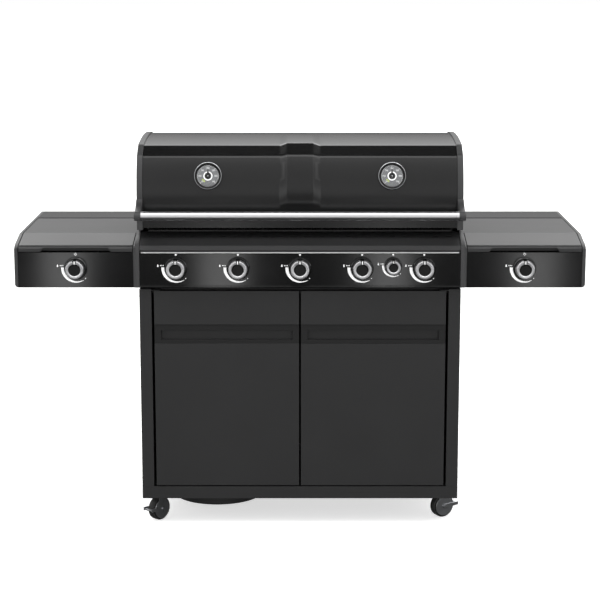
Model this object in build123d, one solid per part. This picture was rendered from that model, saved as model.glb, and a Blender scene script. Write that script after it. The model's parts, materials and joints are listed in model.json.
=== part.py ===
"""Gas barbecue cart: cabinet on casters, five-burner firebox under a hinged lid,
and a side table on each side whose top lifts off a ring burner.

All sizes are in millimetres. X runs to the right, Y to the back and Z up.
The origin is on the floor, at the middle of the whole object's footprint.
"""
from build123d import *
from math import asin, atan, cos, degrees, sin, sqrt, tan
import os

# Overall sizes
TOTAL_WIDTH = 1750.0
TABLE_DEPTH = 600.0
WORK_HEIGHT = 915.0
BODY_WIDTH = 990.0
LID_TOP = 1204.5
HANDLE_REACH = 40.0
HANDLE_RADIUS = 14.5

# The upright plane of the control panel, placed so that the footprint is centred
FRONT = -(TABLE_DEPTH - HANDLE_REACH - HANDLE_RADIUS) / 2
BACK = FRONT + TABLE_DEPTH

# Sheet and clearances
SHEET = 2.0
SEAT = 0.3
RUNNING = 0.05

# Cabinet
CABINET_FRONT = FRONT + 12
CABINET_DEPTH = 508.0
CABINET_BACK = CABINET_FRONT + CABINET_DEPTH
CABINET_HALF = BODY_WIDTH / 2
RAIL_BOTTOM = 87.0
DECK_TOP = 126.0
CABINET_TOP = 757.0
POST_WIDTH = 37.0
DISH_CENTRE = (227 - CABINET_HALF, FRONT + 287)
DISH_RADIUS = 144.0
DISH_BOTTOM = 25.0

# Doors
DOOR_BOTTOM = 130.0
DOOR_TOP = 751.0
DOOR_INNER = 3.0
DOOR_OUTER = CABINET_HALF - 45
DOOR_DEPTH = 18.0
HINGE_INSET = 11.0
DOOR_PIN_RADIUS = 3.0
STRIP_LOW = 585.0
STRIP_HIGH = 646.0
STRIP_RECESS = 3.0
GRIP_LOW = 597.0
GRIP_HIGH = 634.0
GRIP_ENDS = 20.0
GRIP_DEPTH = 16.0

# Console
PANEL_HALF = CABINET_HALF - 3.5
PANEL_BOTTOM = 763.5
PANEL_TOP = 870.0
TRIM_HEIGHT = 3.5
HOOD_SLOT_PITCH = 43.5
HOOD_SLOTS = int(2 * PANEL_HALF / HOOD_SLOT_PITCH)
HOOD_SLOT_SIZE = (22.0, 3.6)
HOOD_SLOT_PLACE = 0.69
CHEEK_INNER = PANEL_HALF + 0.8
CHEEK_OUTER = CHEEK_INNER + 13.4

# Knobs and valves
KNOB_HEIGHT = 824.0
KNOB_RADIUS = 29.5
KNOB_CAP_RADIUS = 18.5
KNOB_PITCH = (PANEL_HALF - 111.5) / 2
KNOB_REACH = 38.0
KNOB_BACK = 5.0
SMALL_KNOB_X = 1.5 * KNOB_PITCH
SMALL_KNOB_HEIGHT = 831.0
SMALL_KNOB_SCALE = 0.763
TABLE_KNOB_X = (CABINET_HALF + TOTAL_WIDTH / 2) / 2 + 2
STEM_RADIUS = 4.0
STEM_FLAT = 2.6
PLUG_RADIUS = 7.0
VALVE_FRONT = 24.0
VALVE_BLOCK_FRONT = 36.0
VALVE_BLOCK_BACK = 66.0
VALVE_HALF_WIDTH = 13.0
MANIFOLD_TOP = 805.0
MANIFOLD_SIZE = 20.0
INLET_X = -600.0
INLET_RADIUS = 6.0
INLET_BORE = 3.5
INLET_END = 756.0

# Firebox
FIREBOX_HALF = CABINET_HALF - 25
FIREBOX_FRONT = FRONT + 85
FIREBOX_BACK = FRONT + 505
FIREBOX_FLOOR = 790.0
FIREBOX_RIM = 930.0
BURNER_RADIUS = 12.5
GRATE_HEIGHT = 895.0
GRATE_THICKNESS = 12.0
GRATE_COUNT = 3
RACK_HEIGHT = 1020.0
RACK_FRONT = FRONT + 330
RACK_BACK = FRONT + 450
RACK_WIRE = 3.0
RACK_BARS = 31

# Lid
LID_BOTTOM = 938.0
LID_FRONT = FRONT + 28
LID_HALF = CABINET_HALF + 5
CAP_WIDTH = 17.7
CAP_PROUD = 3.5
FACE_START = 1033.0
FACE_END = LID_TOP - 40
FACE_RADIUS = 1.9 * (FACE_END - FACE_START)
BEND_RADIUS = 30.0
CROWN = (LID_FRONT + 0.15 * FACE_RADIUS + 48.5, LID_TOP - 11)
LID_MIDDLE = FRONT + 270
TOP_BACK = (FRONT + 430, LID_TOP - 3)
LID_BACK = FRONT + 536
LID_PIVOT = (FRONT + 500, 960.0)
PIVOT_RADIUS = 4.0
HANDLE_HEIGHT = 991.0
HANDLE_HALF = LID_HALF - 18.5
HANDLE_WALL = 2.0
BRACKET_WIDTH = 20.0
# Half widths of the raised band, and the share of its full rise at each
BAND_PROFILE = ((39.0, 1.0), (42.0, 0.93), (61.0, 0.07), (64.0, 0.0))
BAND_RISE = 8.0
BAND_SINK = 0.3
BAND_START = 1000.0
DIAL_X = LID_HALF - 219
DIAL_HEIGHT = 1103.0
DIAL_RADIUS = 42.0

# Side tables
TABLE_INNER = CABINET_HALF + 11
TABLE_OUTER = TOTAL_WIDTH / 2
INNER_CAP = 4.3
OUTER_CAP = 10.5
TABLE_BOTTOM = 764.0
TABLE_LIP = 873.0
WELL_FLOOR = 850.0
LID_LINE = FRONT + 436
SIDE_PIVOT = (FRONT + 442, WORK_HEIGHT - 5)
SIDE_PIN_RADIUS = 2.5
GRIP_RECESS_WIDTH = 217.0
GRIP_RECESS_HEIGHT = 12.5
TABLE_CREASE = 121.0
CREASE_RADIUS = 60.0
NOSE_SETBACK = 19.0
NOSE_DROP = 20.0
NOSE_FRONT_DROP = 31.0
TABLE_CORNER = 12.0
FLANGE = 30.0
LID_SHEET = 3.0
LID_GAP = 2.5
BURNER_Y = FRONT + 225
TRIVET_HALF = 130.0

# Casters
WHEEL_RADIUS = 37.5
WHEEL_WIDTH = 24.0
CASTER_X = CABINET_HALF - 63
CASTER_FRONT = FRONT + 92
CASTER_BACK = FRONT + 445
TRAIL = 25.0
AXLE_RADIUS = 4.0
FORK_TOP = 82.0
FORK_SHEET = 2.5
FORK_GAP = 2.0
FORK_CHEEK_RADIUS = 31.0
LEVER_REACH = 50.0
LEVER_SHEET = 2.0
LEFT_CASTER_ANGLE = 228.0
RIGHT_CASTER_ANGLE = 28.0

SIDES = {"left": -1, "right": 1}


def block(x, y, z):
    """A box given by its low and high limits along X, Y and Z."""
    size = Box(abs(x[1] - x[0]), abs(y[1] - y[0]), abs(z[1] - z[0]))
    return Pos(sum(x) / 2, sum(y) / 2, sum(z) / 2) * size


def rod(radius, start, end):
    """A round bar from one point to another."""
    start = Vector(*start)
    end = Vector(*end)
    plane = Plane(origin=start, z_dir=end - start)
    return extrude(plane * Circle(radius), (end - start).length)


def side_view(outline, x):
    """Extrude an outline drawn as seen from the side (Y, Z) between two X limits."""
    low, high = sorted(x)
    plane = Plane(origin=(low, 0, 0), x_dir=(0, 1, 0), z_dir=(1, 0, 0))
    return extrude(plane * outline, high - low)


def polygon(points):
    """A flat face through the points, given as (Y, Z) or (X, Y) pairs."""
    return make_face(Polyline(*points, close=True))


def mirrored(shape):
    """The same shape on the other side of the middle plane."""
    return mirror(shape, about=Plane.YZ)


def save(name, *solids):
    """Write one node; several loose solids go out as a group."""
    pieces = []
    for item in solids:
        pieces.extend(item.solids())
    shape = pieces[0] if len(pieces) == 1 else Compound(children=pieces)
    shape.label = name
    export_step(shape, f"parts/{name}.step")


# Cabinet -----------------------------------------------------------------

def base_tray():
    """Deck with a skirt all round and a round dish that drops through it."""
    outer = block((-CABINET_HALF, CABINET_HALF), (CABINET_FRONT, CABINET_BACK), (RAIL_BOTTOM, DECK_TOP))
    hollow = block((-CABINET_HALF + SHEET, CABINET_HALF - SHEET),
                   (CABINET_FRONT + SHEET, CABINET_BACK - SHEET), (RAIL_BOTTOM, DECK_TOP - SHEET))
    x, y = DISH_CENTRE
    dish = Pos(x, y, DISH_BOTTOM) * extrude(Circle(DISH_RADIUS), DECK_TOP - DISH_BOTTOM)
    dish_inside = Pos(x, y, DISH_BOTTOM + SHEET) * extrude(Circle(DISH_RADIUS - SHEET), DECK_TOP - DISH_BOTTOM)
    tray = outer - hollow + dish - dish_inside
    for side in SIDES.values():
        pin_x = side * (DOOR_OUTER - HINGE_INSET)
        tray -= rod(DOOR_PIN_RADIUS + RUNNING, (pin_x, door_pin_y(), DECK_TOP - 10), (pin_x, door_pin_y(), DECK_TOP + 1))
    return tray


def door_pin_y():
    return CABINET_FRONT + HINGE_INSET


def side_panel(side):
    """Side sheet with the folded front post and the tab that holds the door's top pin."""
    inner = CABINET_HALF - SHEET
    z = (DECK_TOP + SEAT, CABINET_TOP)
    sheet = block((inner, CABINET_HALF), (CABINET_FRONT, CABINET_BACK), z)
    post = block((CABINET_HALF - POST_WIDTH, CABINET_HALF), (CABINET_FRONT, CABINET_FRONT + SHEET), z)
    fold = block((CABINET_HALF - POST_WIDTH, CABINET_HALF - POST_WIDTH + SHEET),
                 (CABINET_FRONT, CABINET_FRONT + 24), z)
    tab_z = (DOOR_TOP + 1.5, DOOR_TOP + 3.5)
    pin_x = DOOR_OUTER - HINGE_INSET
    tab = block((pin_x - 9, CABINET_HALF), (CABINET_FRONT, CABINET_FRONT + 24), tab_z)
    hole = rod(DOOR_PIN_RADIUS + RUNNING, (pin_x, door_pin_y(), tab_z[0] - 1), (pin_x, door_pin_y(), tab_z[1] + 1))
    back_fold = block((CABINET_HALF - 20, CABINET_HALF), (CABINET_BACK - SHEET, CABINET_BACK), z)
    panel = sheet + post + fold + tab + back_fold - hole
    return panel if side > 0 else mirrored(panel)


def back_panel():
    half = CABINET_HALF - 20 - SEAT
    plate = block((-half, half), (CABINET_BACK - SHEET, CABINET_BACK), (DECK_TOP + SEAT, CABINET_TOP))
    for side in SIDES.values():
        for row in range(4):
            vent = block((side * 150, side * 330), (CABINET_BACK - 10, CABINET_BACK + 10),
                         (640 + 16 * row, 646 + 16 * row))
            plate -= vent
    return plate


def top_frame():
    """Ring of rail inside the top of the cabinet that carries the firebox."""
    half = CABINET_HALF - SHEET - SEAT
    y = (CABINET_FRONT + 26, CABINET_BACK - SHEET - SEAT)
    z = (CABINET_TOP - 18, CABINET_TOP)
    ring = block((-half, half), y, z) - block((-half + 45, half - 45), (y[0] + 24, y[1] - 24), z)
    channel = block((-half + 3, half - 3), (y[0] + 3, y[1] - 3), (z[0], z[1] - 3))
    channel -= block((-half + 42, half - 42), (y[0] + 21, y[1] - 21), (z[0], z[1]))
    return ring - channel


def door(side):
    """Folded door pan with a sunk strip across it and a finger slot in the strip."""
    x = (DOOR_INNER, DOOR_OUTER)
    y = (CABINET_FRONT, CABINET_FRONT + DOOR_DEPTH)
    pan = block(x, y, (DOOR_BOTTOM, DOOR_TOP))
    pan -= block((x[0] + SHEET, x[1] - SHEET), (y[0] + SHEET, y[1] + 1), (DOOR_BOTTOM + SHEET, DOOR_TOP - SHEET))
    strip = block(x, (y[0], y[0] + STRIP_RECESS + SHEET), (STRIP_LOW - SHEET, STRIP_HIGH + SHEET))
    pan += strip
    pan -= block((x[0] - 1, x[1] + 1), (y[0] - 1, y[0] + STRIP_RECESS), (STRIP_LOW, STRIP_HIGH))
    grip_x = (x[0] + GRIP_ENDS, x[1] - GRIP_ENDS)
    cup = block((grip_x[0] - SHEET, grip_x[1] + SHEET), (y[0] + STRIP_RECESS, y[0] + GRIP_DEPTH + SHEET),
                (GRIP_LOW - SHEET, GRIP_HIGH + SHEET))
    cup_inside = block(grip_x, (y[0] - 1, y[0] + GRIP_DEPTH), (GRIP_LOW, GRIP_HIGH))
    lip = block(grip_x, (y[0] + STRIP_RECESS, y[0] + STRIP_RECESS + SHEET), (GRIP_HIGH - 7, GRIP_HIGH))
    pan = pan + cup - cup_inside + lip
    pin_x = DOOR_OUTER - HINGE_INSET
    for low, high in ((DECK_TOP - SHEET, DOOR_BOTTOM + 1), (DOOR_TOP - 1, DOOR_TOP + 4)):
        pan += rod(DOOR_PIN_RADIUS, (pin_x, door_pin_y(), low), (pin_x, door_pin_y(), high))
    return pan if side > 0 else mirrored(pan)


# Firebox -----------------------------------------------------------------

def firebox():
    """Open box with high side walls, a slotted floor and two lid pivots at the back."""
    x = (-FIREBOX_HALF, FIREBOX_HALF)
    y = (FIREBOX_FRONT, FIREBOX_BACK)
    box = block(x, y, (CABINET_TOP + SEAT, FIREBOX_RIM))
    box -= block((x[0] + SHEET, x[1] - SHEET), (y[0] + SHEET, y[1] - SHEET), (CABINET_TOP, FIREBOX_RIM + 1))
    floor = block(x, y, (FIREBOX_FLOOR, FIREBOX_FLOOR + SHEET))
    floor -= block((-330, 330), (y[0] + 170, y[1] - 170), (FIREBOX_FLOOR - 1, FIREBOX_FLOOR + SHEET + 1))
    box += floor
    rim = block(x, y, (FIREBOX_RIM - SHEET, FIREBOX_RIM))
    rim -= block((x[0] + 12, x[1] - 12), (y[0] + 8, y[1] - 8), (FIREBOX_RIM - 10, FIREBOX_RIM + 1))
    box += rim
    # Room for the drip tray to leave at the back
    box -= block((x[0] + 20, x[1] - 20), (y[1] - 10, y[1] + 1), (CABINET_TOP, FIREBOX_FLOOR - 1))
    box += block(x, (y[1] - SHEET, y[1]), (FIREBOX_RIM - SHEET, LID_PIVOT[1] + 15))
    for burner_x in burner_places():
        box -= rod(BURNER_RADIUS + SEAT, (burner_x, y[0] - 5, KNOB_HEIGHT), (burner_x, y[0] + 5, KNOB_HEIGHT))
    for side in SIDES.values():
        ledge_z = FIREBOX_FLOOR - 30
        box += block((side * (FIREBOX_HALF - 34), side * FIREBOX_HALF), (y[0], y[1] - 1), (ledge_z, ledge_z + SHEET))
        ear = block((side * (FIREBOX_HALF - 4), side * FIREBOX_HALF), (LID_PIVOT[0] - 20, y[1]),
                    (FIREBOX_RIM - SHEET, LID_PIVOT[1] + 15))
        pin = rod(PIVOT_RADIUS, (side * (FIREBOX_HALF - 2), *LID_PIVOT), (side * (LID_HALF - 2), *LID_PIVOT))
        box += ear + pin
    for place in (-0.8, 0.0, 0.8):
        support = block((place * FIREBOX_HALF - 12, place * FIREBOX_HALF + 12), (y[0], y[0] + 10),
                        (GRATE_HEIGHT - 3, GRATE_HEIGHT - SEAT))
        box += support
    for front in (y[0] + 1, y[1] - 13):
        ledge = block(x, (front, front + 12), (GRATE_HEIGHT - SHEET - SEAT, GRATE_HEIGHT - SEAT))
        box += ledge
    return box


def burner_places():
    return [KNOB_PITCH * (index - 2) for index in range(5)]


def burner_tubes():
    """Five straight tubes, open at the front end, closed at the back and slit along both sides."""
    start = FRONT + VALVE_BLOCK_BACK + 4
    end = FIREBOX_BACK - 25
    tubes = []
    for x in burner_places():
        tube = rod(BURNER_RADIUS, (x, start, KNOB_HEIGHT), (x, end, KNOB_HEIGHT))
        tube -= rod(BURNER_RADIUS - 1.5, (x, start - 1, KNOB_HEIGHT), (x, end - 3, KNOB_HEIGHT))
        slit = block((x - 20, x + 20), (FIREBOX_FRONT + 40, end - 20), (KNOB_HEIGHT + 4, KNOB_HEIGHT + 5.5))
        tubes.append(tube - slit)
    foot_z = (FIREBOX_FLOOR + SHEET + SEAT, KNOB_HEIGHT - BURNER_RADIUS + 1)
    for index, x in enumerate(burner_places()):
        tubes[index] += block((x - 6, x + 6), (end - 12, end - 8), foot_z)
    return tubes


def flame_tamers():
    """Roof-shaped plates above the burners, each on two feet."""
    y = (FIREBOX_FRONT + 16, FIREBOX_BACK - 16)
    ridge = GRATE_HEIGHT - 18
    eave = KNOB_HEIGHT + 26
    plates = []
    for x in burner_places():
        outer = [(x - 62, eave), (x, ridge), (x + 62, eave)]
        inner = [(px, pz - SHEET * 1.3) for px, pz in reversed(outer)]
        plane = Plane(origin=(0, y[1], 0), x_dir=(1, 0, 0), z_dir=(0, -1, 0))
        roof = extrude(plane * polygon(outer + inner), y[1] - y[0])
        for foot_y in (y[0] + 6, y[1] - 6):
            for foot_x in (x - 60, x + 58):
                roof += block((foot_x, foot_x + 2), (foot_y - 6, foot_y + 6), (FIREBOX_FLOOR + SHEET + SEAT, eave - 1))
        plates.append(roof)
    return plates


def cooking_grates():
    """Three cast grates side by side, bars running front to back."""
    inside = 2 * (FIREBOX_HALF - SHEET) - 8
    width = inside / GRATE_COUNT - 3
    y = (FIREBOX_FRONT + SHEET + 3, FIREBOX_BACK - SHEET - 3)
    z = (GRATE_HEIGHT, GRATE_HEIGHT + GRATE_THICKNESS)
    bars = 18
    gap = (width - 6) / (bars + 1)
    grates = []
    for index in range(GRATE_COUNT):
        centre = (index - (GRATE_COUNT - 1) / 2) * (width + 3)
        frame = block((centre - width / 2, centre + width / 2), y, z)
        for slot in range(bars + 1):
            left = centre - width / 2 + 3 + slot * gap
            for half in ((y[0] + 6, (y[0] + y[1]) / 2 - 4), ((y[0] + y[1]) / 2 + 4, y[1] - 6)):
                frame -= block((left + 2.8, left + gap - 2.8), half, (z[0] - 1, z[1] + 1))
        grates.append(frame)
    return grates


def warming_rack():
    """Wire shelf standing on the firebox rim at its four corners."""
    half = FIREBOX_HALF - 30
    y = (RACK_FRONT, RACK_BACK)
    rack = rod(RACK_WIRE, (-half, y[0], RACK_HEIGHT), (half, y[0], RACK_HEIGHT))
    rack += rod(RACK_WIRE, (-half, y[1], RACK_HEIGHT), (half, y[1], RACK_HEIGHT))
    for index in range(RACK_BARS):
        x = -half + 2 * half * index / (RACK_BARS - 1)
        rack += rod(2.0, (x, y[0] - 2, RACK_HEIGHT), (x, y[1] + 2, RACK_HEIGHT))
    z = (RACK_HEIGHT - RACK_WIRE, RACK_HEIGHT + RACK_WIRE)
    for side in SIDES.values():
        for leg_y in ((place - RACK_WIRE, place + RACK_WIRE) for place in y):
            foot_x = side * (FIREBOX_HALF - 6)
            rack += block((side * (half - 6), side * (FIREBOX_HALF - 2)), leg_y, z)
            rack += block((foot_x - 4, foot_x + 4), leg_y, (FIREBOX_RIM + SEAT, RACK_HEIGHT))
    return rack


def rear_burner():
    """Shallow burner box on the high back wall, with a grid of flame slots."""
    y = (FIREBOX_BACK - 30, FIREBOX_BACK - SHEET - SEAT)
    box = block((-210, 210), y, (FIREBOX_RIM + 4, LID_PIVOT[1] + 12))
    for index in range(12):
        x = -187 + 34 * index
        box -= block((x - 12, x + 12), (y[0] - 1, y[0] + 6), (FIREBOX_RIM + 12, LID_PIVOT[1] + 4))
    return box


def drip_tray():
    """Shallow pan on two ledges, with a pull at the back."""
    half = FIREBOX_HALF - 24
    y = (FIREBOX_FRONT + 12, FIREBOX_BACK + 2)
    z = (FIREBOX_FLOOR - 30 + SHEET + SEAT, FIREBOX_FLOOR - 6)
    pan = block((-half, half), y, z) - block((-half + SHEET, half - SHEET), (y[0] + SHEET, y[1] - SHEET), (z[0] + SHEET, z[1] + 1))
    pull = block((-70, 70), (y[1] - 1, y[1] + 22), (z[1] - 6, z[1]))
    pull -= block((-60, 60), (y[1], y[1] + 20), (z[1] - 7, z[1] - 2))
    return pan + pull


# Console -----------------------------------------------------------------

def knob_places():
    """Name, X, height and relative size of every knob."""
    places = [(f"{index + 1}", x, KNOB_HEIGHT, 1.0) for index, x in enumerate(burner_places())]
    places.append(("rear", SMALL_KNOB_X, SMALL_KNOB_HEIGHT, SMALL_KNOB_SCALE))
    for name, side in SIDES.items():
        places.append((f"table_{name}", side * TABLE_KNOB_X, KNOB_HEIGHT, 1.0))
    return places


def stem_hole(x, z):
    return rod(STEM_RADIUS + 4, (x, FRONT - 5, z), (x, FRONT + 12, z))


def control_panel():
    """Front sheet folded back along its top and bottom edges, drilled for the valve stems."""
    x = (-PANEL_HALF, PANEL_HALF)
    panel = block(x, (FRONT, FRONT + SHEET), (PANEL_BOTTOM, PANEL_TOP))
    panel += block(x, (FRONT, FRONT + 70), (PANEL_BOTTOM, PANEL_BOTTOM + SHEET))
    panel += block(x, (FRONT, FRONT + 16), (PANEL_TOP - SHEET, PANEL_TOP))
    lip = block(x, (FRONT - 2.5, FRONT), (PANEL_BOTTOM, PANEL_BOTTOM + 6.5))
    panel += fillet(lip.edges().filter_by(Axis.X).sort_by(Axis.Y)[:2], 2.0)
    for _, knob_x, z, _ in knob_places():
        if abs(knob_x) < PANEL_HALF:
            panel -= stem_hole(knob_x, z)
    return panel


def panel_trim():
    half = PANEL_HALF - 4.5
    strip = block((-half, half), (FRONT - 2, FRONT + 6), (PANEL_TOP + SEAT, PANEL_TOP + SEAT + TRIM_HEIGHT))
    return fillet(strip.edges().filter_by(Axis.X).sort_by(Axis.Y)[:2], 1.4)


def hood_line():
    """Top line of the console as seen from the side, from the front edge to the back."""
    return [(FRONT + 2, PANEL_TOP + 11), (FRONT + 8, PANEL_TOP + 23), (FRONT + 75, PANEL_TOP + 55), (FRONT + 84, PANEL_TOP + 55)]


def console_hood():
    """Bevelled, sloping sheet between the panel and the lid with a row of slots."""
    line = hood_line()
    start = (FRONT + 5, PANEL_TOP + SEAT + TRIM_HEIGHT)
    under = [(y + SHEET * 0.6, z - SHEET) for y, z in reversed(line[1:3])]
    outline = [start, (FRONT + 5, PANEL_TOP + 8), line[0], line[1], line[2], line[3], (line[3][0], line[3][1] - 14),
               (line[3][0] - SHEET, line[3][1] - 14), (line[3][0] - SHEET, line[3][1] - SHEET)]
    outline += under
    outline += [(line[0][0] + SHEET * 2.2, line[0][1]), (FRONT + 7.2, PANEL_TOP + 8), (FRONT + 7.2, start[1])]
    hood = side_view(polygon(outline), (-PANEL_HALF, PANEL_HALF))
    run = line[2][0] - line[1][0]
    rise = line[2][1] - line[1][1]
    slope = degrees(asin(rise / sqrt(run ** 2 + rise ** 2)))
    middle = (line[1][0] + run * HOOD_SLOT_PLACE, line[1][1] + rise * HOOD_SLOT_PLACE)
    for index in range(HOOD_SLOTS):
        x = (index - (HOOD_SLOTS - 1) / 2) * HOOD_SLOT_PITCH
        cutter = extrude(SlotOverall(HOOD_SLOT_SIZE[0], HOOD_SLOT_SIZE[1]), 8, both=True)
        hood -= Pos(x, middle[0], middle[1]) * Rot(slope, 0, 0) * cutter
    return hood


def cheek_plates():
    """Plates that close the firebox and console at each end and carry the tables."""
    line = hood_line()
    top = FIREBOX_RIM - SEAT
    outline = polygon([(FRONT, PANEL_BOTTOM), (FRONT, line[0][1] - 2), (line[1][0], line[1][1] + 3),
                       (line[2][0] + 3, top), (FIREBOX_BACK, top), (FIREBOX_BACK, PANEL_BOTTOM)])
    plate = side_view(outline, (CHEEK_INNER, CHEEK_OUTER))
    pocket = side_view(offset(outline, -3.5), (CHEEK_INNER - 1, CHEEK_OUTER - 3))
    rib = side_view(outline, (CHEEK_INNER, CHEEK_OUTER - 3)) & block((480, 510), (FRONT + 290, FRONT + 296), (700, 1000))
    plate = plate - pocket + rib - manifold_hole()
    spacers = block((FIREBOX_HALF + SEAT, CHEEK_OUTER - 3), (FRONT + 284, FRONT + 302), (840, 900))
    plate += spacers
    return plate, mirrored(plate)


def manifold_hole():
    middle = MANIFOLD_TOP - MANIFOLD_SIZE / 2
    gap = MANIFOLD_SIZE / 2 + 1
    y = FRONT + (VALVE_BLOCK_FRONT + VALVE_BLOCK_BACK) / 2
    return block((CHEEK_INNER - 2, TABLE_INNER + 10), (y - gap, y + gap), (middle - gap, middle + gap))


def manifold():
    """Square gas pipe behind the panel with its inlet stub pointing down."""
    half = TABLE_KNOB_X + VALVE_HALF_WIDTH
    y = FRONT + (VALVE_BLOCK_FRONT + VALVE_BLOCK_BACK) / 2
    side = MANIFOLD_SIZE / 2
    z = MANIFOLD_TOP - side
    pipe = block((-half, half), (y - side, y + side), (z - side, z + side))
    pipe -= block((-half + 3, half - 3), (y - side + 2, y + side - 2), (z - side + 2, z + side - 2))
    inlet = rod(INLET_RADIUS, (INLET_X, y, z - side + 1), (INLET_X, y, INLET_END))
    bore = rod(INLET_BORE, (INLET_X, y, z), (INLET_X, y, INLET_END - 1))
    return pipe + inlet - bore


def valve_body(x, z):
    """Tap body on the manifold, bored for the turning plug."""
    body = block((x - VALVE_HALF_WIDTH, x + VALVE_HALF_WIDTH), (FRONT + VALVE_BLOCK_FRONT, FRONT + VALVE_BLOCK_BACK),
                 (MANIFOLD_TOP, z + 15))
    body += rod(11, (x, FRONT + VALVE_FRONT, z), (x, FRONT + VALVE_BLOCK_FRONT + 1, z))
    body -= rod(PLUG_RADIUS + RUNNING, (x, FRONT + VALVE_FRONT + 3, z), (x, FRONT + VALVE_BLOCK_BACK - 8, z))
    body -= rod(STEM_RADIUS + 0.3, (x, FRONT + VALVE_FRONT - 1, z), (x, FRONT + VALVE_FRONT + 5, z))
    return body


def stem(x, z, radius, start, end):
    """Bar along Y with one flat side, which is what turns the plug."""
    bar = rod(radius, (x, start, z), (x, end, z))
    return bar & block((x - 20, x + 20), (start - 1, end + 1), (z - 20, z + STEM_FLAT + radius - STEM_RADIUS))


def valve_plug(x, z):
    start = FRONT + VALVE_FRONT + 3.3
    end = FRONT + VALVE_BLOCK_BACK - 8.3
    plug = rod(PLUG_RADIUS, (x, start, z), (x, end, z))
    return plug - stem(x, z, STEM_RADIUS + RUNNING, start - 1, end - 3)


def knob(x, z, scale):
    """Metal-ringed knob with a pointer notch at the top, a dark cap and its stem."""
    radius = KNOB_RADIUS * scale
    front = FRONT - KNOB_REACH
    back = FRONT - KNOB_BACK
    skirt = rod(radius, (x, front, z), (x, back, z))
    skirt = chamfer(skirt.edges().group_by(Axis.Y)[0], 2.2)
    skirt -= rod(KNOB_CAP_RADIUS * scale, (x, front - 1, z), (x, front + 12, z))
    notch = 5.5 * scale
    skirt -= block((x - notch, x + notch), (front - 1, front + 2.5), (z + 10 * scale, z + radius + 1))
    pointer = block((x - 1.5 * scale, x + 1.5 * scale), (front + 0.8, front + 3), (z + radius * 0.55, z + radius - 1.6))
    skirt += pointer
    skirt += stem(x, z, STEM_RADIUS, back - 8, FRONT + VALVE_BLOCK_BACK - 16)
    cap = rod(KNOB_CAP_RADIUS * scale - RUNNING, (x, front + 1.5, z), (x, front + 12, z))
    cap = fillet(cap.edges().group_by(Axis.Y)[0], 1.2)
    return skirt, cap


def knob_bezel(x, z, scale):
    inner = KNOB_RADIUS * scale + 0.8
    ring = rod(inner + 5 * scale, (x, FRONT - 9, z), (x, FRONT - SEAT, z))
    ring = chamfer(ring.edges().group_by(Axis.Y)[0], 3.0 * scale)
    ring -= rod(inner, (x, FRONT - 10, z), (x, FRONT - 2, z))
    return ring - rod(STEM_RADIUS + 3, (x, FRONT - 10, z), (x, FRONT + 1, z))


# Lid ---------------------------------------------------------------------

def face_point(height):
    """Y of the curved lid front at a height, and how far the face leans back there."""
    rise = height - FACE_START
    lean = asin(rise / FACE_RADIUS)
    return LID_FRONT + FACE_RADIUS * (1 - cos(lean)), lean


def lid_outline():
    """Outside of the end caps as seen from the side."""
    middle = (FACE_START + FACE_END) / 2
    face_mid, _ = face_point(middle)
    face_top, _ = face_point(FACE_END)
    back_bend = LID_TOP - 106
    lines = Line((LID_FRONT, LID_BOTTOM), (LID_FRONT, FACE_START))
    lines += ThreePointArc((LID_FRONT, FACE_START), (face_mid, middle), (face_top, FACE_END))
    lines += Line((face_top, FACE_END), CROWN) + ThreePointArc(CROWN, (LID_MIDDLE, LID_TOP), TOP_BACK)
    lines += ThreePointArc(TOP_BACK, (LID_BACK - 32, LID_TOP - 38), (LID_BACK, back_bend))
    lines += Polyline((LID_BACK, back_bend), (LID_BACK, LID_PIVOT[1] + 15), (LID_BACK - 16, LID_BOTTOM + 7),
                      (LID_BACK - 56, LID_BOTTOM), (LID_FRONT, LID_BOTTOM))
    return softened(make_face(lines), [(face_top, FACE_END), CROWN])


def softened(face, corners):
    """A side outline with the named corners rounded to the bend radius of the lid sheet."""
    picked = [min(face.vertices(), key=lambda v: abs(v.X - y) + abs(v.Y - z)) for y, z in corners]
    return fillet(picked, BEND_RADIUS)


def lid_end_caps():
    """Cast end frames of the lid, hollow on the inside and bored for the pivots."""
    outline = lid_outline()
    inner = LID_HALF - CAP_WIDTH
    bevel = 1.5
    cap = side_view(outline, (inner, LID_HALF - bevel))
    rim = Plane(origin=(LID_HALF - bevel, 0, 0), x_dir=(0, 1, 0), z_dir=(1, 0, 0))
    cap += extrude(rim * outline, bevel, taper=45)
    cap -= side_view(offset(outline, -(CAP_PROUD + 3)), (inner - 1, LID_HALF - 4))
    cap += rod(PIVOT_RADIUS + 7, (inner + 1, *LID_PIVOT), (LID_HALF - 3, *LID_PIVOT))
    cap -= rod(PIVOT_RADIUS + RUNNING, (inner - 2, *LID_PIVOT), (LID_HALF - 1.5, *LID_PIVOT))
    return cap, mirrored(cap)


def lid_shell():
    """Bent sheet between the end caps, with a raised band over its middle."""
    outline = offset(lid_outline(), -CAP_PROUD)
    half = LID_HALF - CAP_WIDTH - SEAT
    shell = side_view(outline, (-half, half)) + raised_band()
    hollow = side_view(offset(outline, -SHEET), (-half - 1, half + 1))
    below = block((-600, 600), (FRONT - 100, BACK + 100), (LID_BOTTOM - 50, LID_BOTTOM + CAP_PROUD + SHEET + 1))
    back = block((-600, 600), (LID_PIVOT[0] - 60, BACK + 100), (LID_BOTTOM - 50, LID_PIVOT[1] + 20))
    shell = shell - hollow - below - back
    for side in SIDES.values():
        shell -= rod(4.0, dial_point(side, -30), dial_point(side, 30))
    return shell


def lid_point(height, out):
    """A point on the curved lid front at a height, moved outward at right angles to it."""
    y, lean = face_point(height)
    return (y - out * cos(lean), height + out * sin(lean))


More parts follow.
